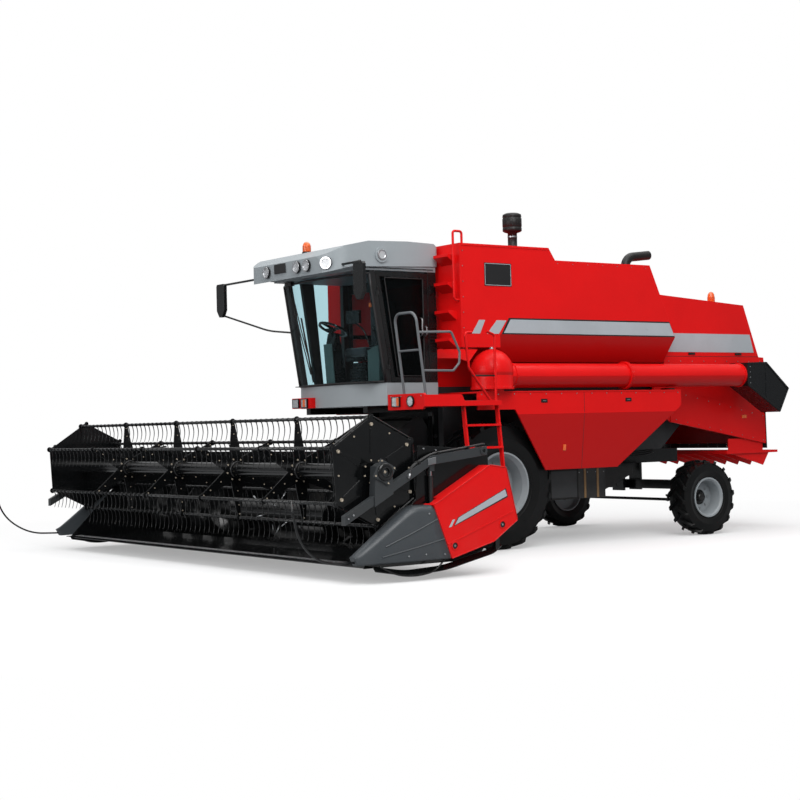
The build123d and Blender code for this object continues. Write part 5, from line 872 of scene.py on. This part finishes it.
def divider_nose(s):
    """Nose with its rounded ridge, cut off along the end cover, and the curved guide rod."""
    p = Piece(f"divider_{SIDE[s]}", "header", "nose_plastic")
    tip, peak, rear = Vector((0, -3.64, 0.272)), Vector((0, -2.975, 0.748)), Vector((0, -2.745, 0.742))
    ridge = rounded([tip, peak, rear, rear + Vector((0, 0.3, 0))], 0.2, 8)
    stations = [-3.64, -3.62, -3.6, -3.56] + [-3.52 + 0.04 * i for i in range(19)] + [-2.755, -2.72, -2.5]
    rings = []
    for y in stations:
        a, b = next((a, b) for a, b in zip(ridge, ridge[1:]) if y <= b.y + 1e-6)
        top = a.z + (b.z - a.z) * (y - a.y) / (b.y - a.y)
        low = 0.19 + max(0.0, y + 3.6) * 0.0094 + max(0.0, -3.6 - y) * 2.0
        out, inner = nose_x(y), 3.503 if y < -2.75 else 3.575
        r = min(0.07, (top - low) * 0.45, (out - inner) * 0.6)
        foot = min(0.02, (top - low) * 0.2)
        section = [(inner, top)]
        section += [(out - r + a, top - r + b) for b, a in circle(r, 32)[:9]]
        section += [(out - foot + a, low + foot - b) for a, b in circle(foot, 12)[:4]]
        section += [(inner, low)]
        rings.append([p.bm.verts.new((s * x, y, z)) for x, z in section])
    p.skin(rings, True, 1)
    whole = p.bm.verts[:] + p.bm.edges[:] + p.bm.faces[:]
    bmesh.ops.bisect_plane(p.bm, geom=whole, plane_co=rear, plane_no=(0, 0.542, 0.21), clear_outer=True)
    bmesh.ops.holes_fill(p.bm, edges=p.bm.edges[:], sides=0)
    p.use("black_paint").tube([(s * 3.55, -3.57, 0.222), (s * 3.58, -4.02, 0.24), (s * 3.69, -4.33, 0.47),
        (s * 3.74, -4.429, 0.87)], 0.011, 12, 0.3, 10)
    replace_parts(p.done(), "dividers")


def header_end(s):
    word = SIDE[s]
    x = s * (COVER_X + 0.0002)
    p = Piece(f"cover_trim_{word}", "header", "dark_decal")
    border = [(y + dy, z + dz) for (y, z), (dy, dz) in zip(COVER_BAR, COVER_GROW)]
    p.side_plate(border, x, s * 0.001)
    p.use("silver_decal").side_plate(COVER_BAR, x, s * 0.002)
    p.side_plate(COVER_BLOCK, x, s * 0.002)
    for y, z in COVER_LATCHES:
        p.use("red_paint").ring((x, y, z), (s, 0, 0), 0.042, 0.032, 0.006, 24)
        p.use("dark_decal").lathe([(0, 0.032), (0.002, 0.032), (0.002, 0)], (x, y, z), (s, 0, 0), 20)
        p.use("bolt_steel").lathe([(0, 0.013), (0.008, 0.012), (0.01, 0)], (x, y, z), (s, 0, 0), 10)
    p.use("red_paint")
    edge = [(-2.53, 0.2), (-2.74, 0.742), (-2.02, 1.114), (-1.81, 1.082), (-1.675, 0.54), (-1.985, 0.34)]
    loop = [Vector((x, y, z)) for y, z in edge]
    p.border(loop, bar(0.006, 0.004), 0.01)
    p.side_plate([(-2.57, 0.335), (-2.58, 0.35), (-1.735, 0.64), (-1.73, 0.625)], x, s * 0.004)
    p.done(0.001, 1)

    n = Piece(f"nose_trim_{word}", "header", "nose_plastic")
    for (y0, z0), (y1, z1) in (((-3.3, 0.36), (-2.7, 0.6)), ((-3.34, 0.26), (-2.62, 0.4))):
        line = [(y0 + (y1 - y0) * i / 8, z0 + (z1 - z0) * i / 8) for i in range(9)]
        n.sweep([Vector((s * (nose_x(y) + 0.001), y, z)) for y, z in line], bar(0.006, 0.006))
    n.use("bolt_steel")
    for y, z in ((-3.05, 0.255), (-2.85, 0.262), (-2.62, 0.25), (-2.8, 0.66)):
        n.bolt((s * nose_x(y), y, z), (s, 0, 0), 0.01)
    # skid under the cover and the curved spring under the nose
    n.use("black_paint")
    skid = rounded([Vector((s * 3.6, y, z)) for y, z in ((-1.86, 0.3), (-1.95, 0.235), (-2.575, 0.105),
        (-3.05, 0.085), (-3.42, 0.15))], 0.12, 5)
    n.sweep(skid, bar(0.006, 0.035))
    n.block((s * 3.6, -1.9, 0.32), (0.05, 0.05, 0.14))
    n.tube([(s * 3.64, -3.38, 0.175), (s * 3.645, -3.18, 0.075), (s * 3.65, -2.94, 0.052),
        (s * 3.65, -2.72, 0.085), (s * 3.65, -2.6, 0.195)], 0.009, 8, 0.12)
    n.done(0.001, 1)

    # end sheet: bolts near its rim and the ring round the arms' pivot
    e = Piece(f"end_sheet_trim_{word}", "header", "black_paint")
    e.use("bolt_steel").side_bolts(s * (SHEET_X + 0.0003), (-2.72, 1.3), (-2.12, 1.24), 5, 0.01)
    e.use("pipe_metal").ring((s * (SHEET_X + 0.0002), *ARM_PIVOT), (s, 0, 0), 0.055, 0.0205, 0.02)
    e.done(0.001, 1)

    # arm: pivot boss, bolts, plate, and hoses with their clips
    m = Piece(f"arm_trim_{word}", "arms", "grey_paint")
    xo = s * 3.5952
    m.ring((xo, *ARM_PIVOT), (s, 0, 0), 0.044, 0.0205, 0.01)
    m.use("bolt_steel")
    for y, z in ((-3.7, 0.652), (-3.64, 0.684)):
        m.bolt((xo, y, z), (s, 0, 0), 0.01)
    m.side_plate([(-2.74, 1.135), (-2.74, 1.2), (-2.64, 1.215), (-2.64, 1.15)], xo, s * 0.006)
    m.use("hose_rubber")
    hoses = [(s * (3.56 + off), s * (3.598 + off / 2)) for off in (-0.012, 0.014)]
    for x, end in hoses:
        m.tube([(x, -2.0, 1.33), (x, -2.3, 1.292), (x, -2.68, 1.248), (x, -2.92, 1.128),
            (end, -2.98, 1.03)], 0.01, 8, 0.08)
    m.use("pipe_metal")
    for y, z, turn in ((-2.22, 1.298, 0.12), (-2.6, 1.252, 0.12), (-2.84, 1.165, 0.48)):
        m.block((s * 3.562, y, z), (0.07, 0.022, 0.03), turned(turn, "X"))
    m.use("bolt_steel")
    for x, end in hoses:
        m.rod((end, -2.965, 1.06), (end, -2.985, 1.015), 0.013, 6)
    m.done(0.001, 1)

    # square bearing box on the carrier with its round hub
    h = Piece(f"reel_bearing_{word}", "carriers", "grey_paint")
    c = Vector((s * 3.6092, *REEL))
    half, inner, thick = 0.098, 0.045, 0.022
    tilt = turned(-math.atan2(0.552, 1.045), "X")
    for side in (1, -1):
        h.block(c + tilt @ Vector((s * thick / 2, 0, side * (half + inner) / 2)),
            (thick, 2 * half, half - inner), tilt)
        h.block(c + tilt @ Vector((s * thick / 2, side * (half + inner) / 2, 0)),
            (thick, half - inner, 2 * inner), tilt)
    h.use("black_paint").lathe([(thick, 0.0405), (thick, 0.088), (0.036, 0.086), (0.044, 0.074),
        (0.046, 0.058), (0.046, 0.0405)], c, (s, 0, 0), 36, True, True)
    h.use("zinc_bolt")
    for dy in (1, -1):
        for dz in (1, -1):
            h.bolt(c + tilt @ Vector((s * thick, dy * 0.082, dz * 0.082)), (s, 0, 0), 0.01)
    h.lathe([(0, 0.016), (0.006, 0.015), (0.008, 0)], c + Vector((s * 0.02, 0, 0)), (s, 0, 0), 16)
    h.done(0.001, 1)


def reel_bolts():
    """Bolts and rings on the spiders and the end plates of the reel."""
    p = Piece("reel_bolts", "reel", "zinc_bolt")
    angles = [math.radians(90 - 3.2 - 60 * i) for i in range(6)]
    spiders = [REEL_HALF * (2 * i / 5 - 1) for i in range(6)]
    for x in spiders[1:]:
        last = x == spiders[-1]
        for s in SIDE:
            c, k = Vector((x + s * 0.004, *REEL)), (s, 0, 0)
            p.bolt_circle(c, k, 0.12, 8, 0.01, 0.3)
            for a in angles:
                u = Vector((0, -math.cos(a), math.sin(a)))
                if last and s > 0:
                    v = Vector((0, -math.cos(a + math.pi / 6), math.sin(a + math.pi / 6)))
                    p.bolt(c + u * 0.472, k, 0.019).bolt(c + v * 0.42, k, 0.01)
                    continue
                for r in (0.24, 0.4):
                    p.bolt(c + u * r, k, 0.007)
                if not last:
                    p.bolt(c + u * 0.5, k, 0.008)
    p.use("black_paint")
    for x in spiders[1:-1]:
        for s in SIDE:
            p.lathe([(0, 0.081), (0, 0.098), (0.04, 0.092), (0.04, 0.081)], (x + s * 0.004, *REEL),
                (s, 0, 0), 28, True, True)
    # rim of the left end plate
    corners = [Vector((3.446, REEL[0] - 0.565 * math.cos(a), REEL[1] + 0.565 * math.sin(a)))
        for a in angles]
    p.border(corners, bar(0.003, 0.006), 0.075)
    p.done()


def reel_bats():
    """Bats with smoothly bowed, tapered tines in clamps, and the cranks at the right end."""
    pitch = 2 * REEL_HALF / TINES
    drop, bow, wide = 0.215, 0.022, 0.004
    back, up = 0.095, 0.038
    for i in range(6):
        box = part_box(f"reel_bat_{i + 1}")
        y, z = box[1][1] - 0.112 - AXLE_Y, box[0][2] + drop
        left, right = box[1][0], -box[1][0]
        p = Piece(f"bat_tines_{i + 1}", f"bat_{i + 1}", "black_paint")
        p.rod((right, y, z), (left, y, z), 0.017, 20)
        for j in range(TINES):
            x = pitch * (j + 0.5) - REEL_HALF
            rings = []
            for k in range(9):
                c = Vector((x, y + bow * math.sin(math.pi * k / 8), z - drop * k / 8))
                deep = 0.007 - 0.004 * k / 8
                rings.append([p.bm.verts.new(c + Vector((wide * a, deep * b, 0))) for a, b in circle(1, 6)])
            p.skin(rings, True)
            p.lathe([(-0.01, 0.0165), (-0.01, 0.0205), (0.01, 0.0205), (0.01, 0.0165)], (x, y, z),
                (1, 0, 0), 12, False, True)
        crank = Vector((0, back, up))
        flat = [Vector((right, y, z)) + crank * m + Vector((0, -up, back)).normalized() * w
            for m, w in ((0, -0.013), (0, 0.013), (1, 0.013), (1, -0.013))]
        p.prism(flat, (-0.008, 0, 0))
        p.rod((right, y, z), (right - 0.008, y, z), 0.023, 20)
        p.rod((right, y + back, z + up), (right - 0.008, y + back, z + up), 0.017, 18)
        p.rod((right, y + back, z + up), (box[0][0], y + back, z + up), 0.009, 12)
        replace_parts(p.done(), f"reel_bat_{i + 1}")


def header_middle():
    f = Piece("auger_fingers", "cross_auger", "bolt_steel")
    for i in range(14):
        x = -0.42 + 0.84 * i / 13
        a = 2.4 * i
        u = Vector((0, math.cos(a), math.sin(a)))
        c = Vector((x, *CROSS_AUGER))
        f.use("bolt_steel").rod(c + u * 0.148, c + u * 0.285, 0.008, 8)
        f.use("hose_rubber").lathe([(0, 0.022), (0.008, 0.018), (0.008, 0)], c + u * 0.149, u, 10)
    f.use("bolt_steel")
    for s in SIDE:
        f.bolt_circle((s * 3.4685, *CROSS_AUGER), (s, 0, 0), 0.115, 6, 0.01)
    f.done()
    b = Piece("header_back_ribs", "header", "black_paint")
    back = -1.9
    for s in SIDE:
        for i in range(6):
            x = s * (0.76 + 0.52 * i)
            b.block((x, back + 0.015, 0.745), (0.05, 0.03, 0.72))
        b.block((s * 2.06, back + 0.015, 0.72), (2.8, 0.028, 0.05))
        b.use("bolt_steel").bolt_row((s * 0.7, back, 1.145), (s * 3.36, back, 1.145), 14, BACK, 0.009)
        b.use("black_paint").block((s * 0.635, back + 0.007, 0.66), (0.1, 0.03, 0.62))
    b.use("amber_lens")
    for s in SIDE:
        b.block((s * 3.36, back + 0.007, 1.0), (0.09, 0.01, 0.045))
    b.use("hose_rubber")
    for dz in (0, 0.035, 0.07):
        b.tube([(0.6, -1.86, 1.02 + dz), (1.4, -1.868, 1.05 + dz), (2.6, -1.868, 1.06 + dz),
            (3.3, -1.868, 1.075 + dz), (3.42, -1.888, 1.16 + dz / 3)], 0.01, 8, 0.08)
    b.done(0.001, 1)

    def feeder_top(y):
        """Height of the feeder house's roof at its sides."""
        return 0.955 + 0.68 * (y + 1.9) / 1.24

    h = Piece("feeder_ribs", "header", "black_paint")
    for s in SIDE:
        for y in (-1.62, -1.3, -0.98):
            low = 0.345 + 0.6 * (y + 1.9)
            high = feeder_top(y)
            h.side_plate([(y - 0.018, low + 0.02), (y - 0.018, high - 0.02), (y + 0.018, high),
                (y + 0.018, low + 0.04)], s * 0.5602, s * 0.016)
        h.use("bolt_steel").side_bolts(s * 0.5602, (-1.86, 0.42), (-1.86, 0.9), 5, 0.01)
        h.use("black_paint")
    for i in range(5):
        y = -1.7 + 0.24 * i
        h.block((0, y, feeder_top(y) + 0.019), (1.06, 0.035, 0.016), turned(0.5, "X"))
    h.use("hose_rubber")
    for dx in (0, 0.03):
        h.tube([(-0.4 + dx, -1.8, 1.06), (-0.4 + dx, -1.4, 1.29), (-0.4 + dx, -0.8, 1.62)], 0.011, 8, 0.1)
    # cover of the chain drive on the left side
    h.use("grey_paint").side_plate([(-1.2, 0.98), (-1.02, 1.12), (-0.78, 1.5), (-0.95, 1.5), (-1.25, 1.15)],
        0.5765, 0.008)
    h.done(0.001, 1)


def under_body(s):
    word = SIDE[s]
    p = Piece(f"drives_{word}", "chassis", "pipe_metal")
    x0 = s * 0.7802
    wheels = [(2.62, 1.46, 0.21), (3.18, 1.58, 0.12), (2.28, 1.25, 0.09), (0.6, 1.38, 0.16),
        (1.3, 1.52, 0.24)]
    for y, z, r in wheels:
        p.use("pipe_metal").lathe([(0, 0.035), (0.03, 0.035), (0.03, r * 0.9), (0.022, r),
            (0.04, r - 0.012), (0.058, r), (0.05, r * 0.9), (0.042, 0.04), (0.085, 0.034), (0.085, 0)],
            (x0, y, z), (s, 0, 0), 36, False)
        p.use("bolt_steel").bolt_circle((x0 + s * 0.05, y, z), (s, 0, 0), r * 0.62, 6, 0.008)
    p.use("hose_rubber")
    for (ya, za, ra), (yb, zb, rb) in ((wheels[0], wheels[1]), (wheels[3], wheels[4])):
        line = []
        d = math.atan2(zb - za, yb - ya)
        lean = math.asin((ra - rb) / math.hypot(zb - za, yb - ya))
        for i in range(13):
            t = d + math.pi / 2 - lean + (math.pi + 2 * lean) * i / 12
            line.append(Vector((x0 + s * 0.04, ya + ra * math.cos(t), za + ra * math.sin(t))))
        for i in range(9):
            t = d - math.pi / 2 + lean + (math.pi - 2 * lean) * i / 8
            line.append(Vector((x0 + s * 0.04, yb + rb * math.cos(t), zb + rb * math.sin(t))))
        p.sweep(line + [line[0]], bar(0.008, 0.006))
    # screens over the fan's air boxes, tan straps, hoses along the rail
    p.use("mesh_screen").side_rect(1.08, 1.53, 0.56, 0.915, s * 1.0002, s * 0.006)
    p.use("pipe_metal").side_frame(1.07, 1.54, 0.553, 0.922, 0.017, s * 1.0062, s * 0.005)
    p.use("tan_strap")
    for y in (1.68, 1.9):
        p.side_rect(y, y + 0.035, 0.55, 0.925, s * 0.9602, s * 0.004)
    p.use("bolt_steel").side_bolts(s * 0.9602, (1.6, 0.88), (2.02, 0.88), 4, 0.008)
    p.use("hose_rubber")
    for dz in (0, 0.028, 0.056):
        p.tube([(s * 0.7, -0.2, 1.05 + dz), (s * 0.7, 0.9, 1.07 + dz), (s * 0.7, 2.1, 1.02 + dz),
            (s * 0.7, 3.05, 1.06 + dz), (s * 0.64, 3.45, 1.155 + dz / 3)], 0.011, 8, 0.12)
    p.use("pipe_metal")
    for y in (0.3, 1.5, 2.6):
        p.block((s * 0.696, y, 1.085), (0.02, 0.03, 0.12))
    p.done()


def platform_trim():
    p = Piece("platform_deck", "chassis", "mesh_screen")
    p.block((1.385, -0.955, 1.8115), (0.66, 0.84, 0.003))
    deck = 1.78
    p.use("red_paint")
    for i in range(5):
        z = deck - 0.26 - 0.265 * i
        x = 1.64 + 0.16 * (deck - z) / 1.33 + 0.03
        for j in range(9):
            p.block((x, -0.755 + 0.0513 * j, z + 0.0125), (0.092, 0.014, 0.005))
    p.use("bolt_steel")
    for y in (-0.811, -0.289):
        for z in (1.755, 1.7):
            p.bolt((1.672, y, z), (0, -1 if y < -0.5 else 1, 0), 0.009)
    p.bolt_row((1.1, -1.4204, 1.875), (1.7, -1.4204, 1.875), 4, FRONT, 0.008)
    p.use("pipe_metal").rod((1.735, -0.7, 2.1), (1.735, -0.372, 2.1), 0.01)
    p.done(0.001, 1)
    q = Piece("rail_clamps", "chassis", "bolt_steel")
    for x in (1.29, 1.71):
        q.block((x, -1.354, 1.826), (0.07, 0.06, 0.012))
        for dx in (-0.024, 0.024):
            q.bolt((x + dx, -1.354, 1.832), UP, 0.007)
    q.done(0.001, 1)


both(divider_nose)
both(header_end)
reel_bolts()
reel_bats()
header_middle()
both(under_body)
platform_trim()


# Stage

def stage():
    """Floor that glows out into white, and a white world that lights with grey from below."""
    size = 90.0
    mesh = bpy.data.meshes.new("floor")
    mesh.from_pydata([(a * size, b * size, 0) for a, b in bar(1, 1)], [], [(0, 1, 2, 3)])
    floor = bpy.data.objects.new("floor", mesh)
    bpy.context.scene.collection.objects.link(floor)
    s = Shader("floor_paper")
    seen = s.node("ShaderNodeLightPath").outputs["Is Camera Ray"]
    cloud = s.spread(s.noise(0.4, 3.0), 0.3, 0.7)
    paper = s.mix(cloud, (0.9, 0.905, 0.91), (0.93, 0.935, 0.94))
    s.set(Base_Color=s.mix(seen, (0.38, 0.39, 0.4), paper), Specular_IOR_Level=0.05,
        Roughness=s.spread(s.noise(3.0), 0.3, 0.7, 0.55, 0.7), Normal=s.bump(s.noise(60.0), 0.02, 0.001))
    glow = s.node("ShaderNodeEmission", {"Color": (1, 1, 1), "Strength": 1.0}).outputs["Emission"]
    distance = s.node("ShaderNodeVectorMath", {0: s.coord}, operation="LENGTH").outputs["Value"]
    far = s.spread(distance, 5.0, 11.0, 0.35, 1.0)
    s.blend(s.math("MULTIPLY", far, seen), s.bsdf.outputs["BSDF"], glow)
    mesh.materials.append(M["floor_paper"])

    world = bpy.data.worlds.new("studio")
    bpy.context.scene.world = world
    world.use_nodes = True
    t = Nodes(world.node_tree)
    height = t.height_of(t.node("ShaderNodeTexCoord").outputs["Generated"])
    half = t.node("ShaderNodeMath", {0: height, 1: 0.5, 2: 0.5}, operation="MULTIPLY_ADD").outputs[0]
    ramp = t.node("ShaderNodeValToRGB", {"Fac": half})
    low, high = ramp.color_ramp.elements
    low.position, low.color = 0.46, (0.5, 0.51, 0.53, 1)
    high.position, high.color = 0.8, (1, 1, 1, 1)
    lit = t.node("ShaderNodeBackground", {"Color": ramp.outputs["Color"], "Strength": 0.5}).outputs[0]
    white = t.node("ShaderNodeBackground", {"Color": (1, 1, 1), "Strength": 1.0}).outputs[0]
    seen = t.node("ShaderNodeLightPath").outputs["Is Camera Ray"]
    pick = t.node("ShaderNodeMixShader", {"Fac": seen, 1: lit, 2: white}).outputs[0]
    t.node("ShaderNodeOutputWorld", {"Surface": pick})


def light(name, place, target, size, power):
    data = bpy.data.lights.new(name, "AREA")
    data.shape = "RECTANGLE"
    data.size, data.size_y = size
    data.energy = power
    obj = bpy.data.objects.new(name, data)
    obj.location = place
    obj.rotation_euler = (Vector(target) - Vector(place)).to_track_quat("-Z", "Y").to_euler()
    bpy.context.scene.collection.objects.link(obj)


def camera():
    """The photograph's own view, from its fitted focal length, place and turn."""
    focal_px, half_px = 1589.67, 400.0
    yaw, pitch, roll = (math.radians(v) for v in (54.739, 0.936, 1.394))
    place = Vector((16.374, -12.539, 1.534))
    forward = Vector((-math.sin(yaw) * math.cos(pitch), math.cos(yaw) * math.cos(pitch), math.sin(pitch)))
    right = Vector((math.cos(yaw), math.sin(yaw), 0))
    up = right.cross(forward)
    r = right * math.cos(roll) - up * math.sin(roll)
    u = right * math.sin(roll) + up * math.cos(roll)
    data = bpy.data.cameras.new("camera")
    data.sensor_width = 36
    data.lens = focal_px / (2 * half_px) * 36
    data.clip_end = 300
    obj = bpy.data.objects.new("camera", data)
    m = Matrix((r, u, -forward)).transposed().to_4x4()
    m.translation = place
    obj.matrix_world = m
    bpy.context.scene.collection.objects.link(obj)
    bpy.context.scene.camera = obj


stage()
light("key", (13, -6, 11), (0, -0.5, 1.2), (10, 10), 1500)
light("overhead", (0, 1, 13), (0, 0.5, 0), (16, 16), 1500)
light("front_fill", (2, -17, 5), (0, -2, 1), (9, 6), 650)
camera()
bpy.context.scene.view_settings.view_transform = "Standard"
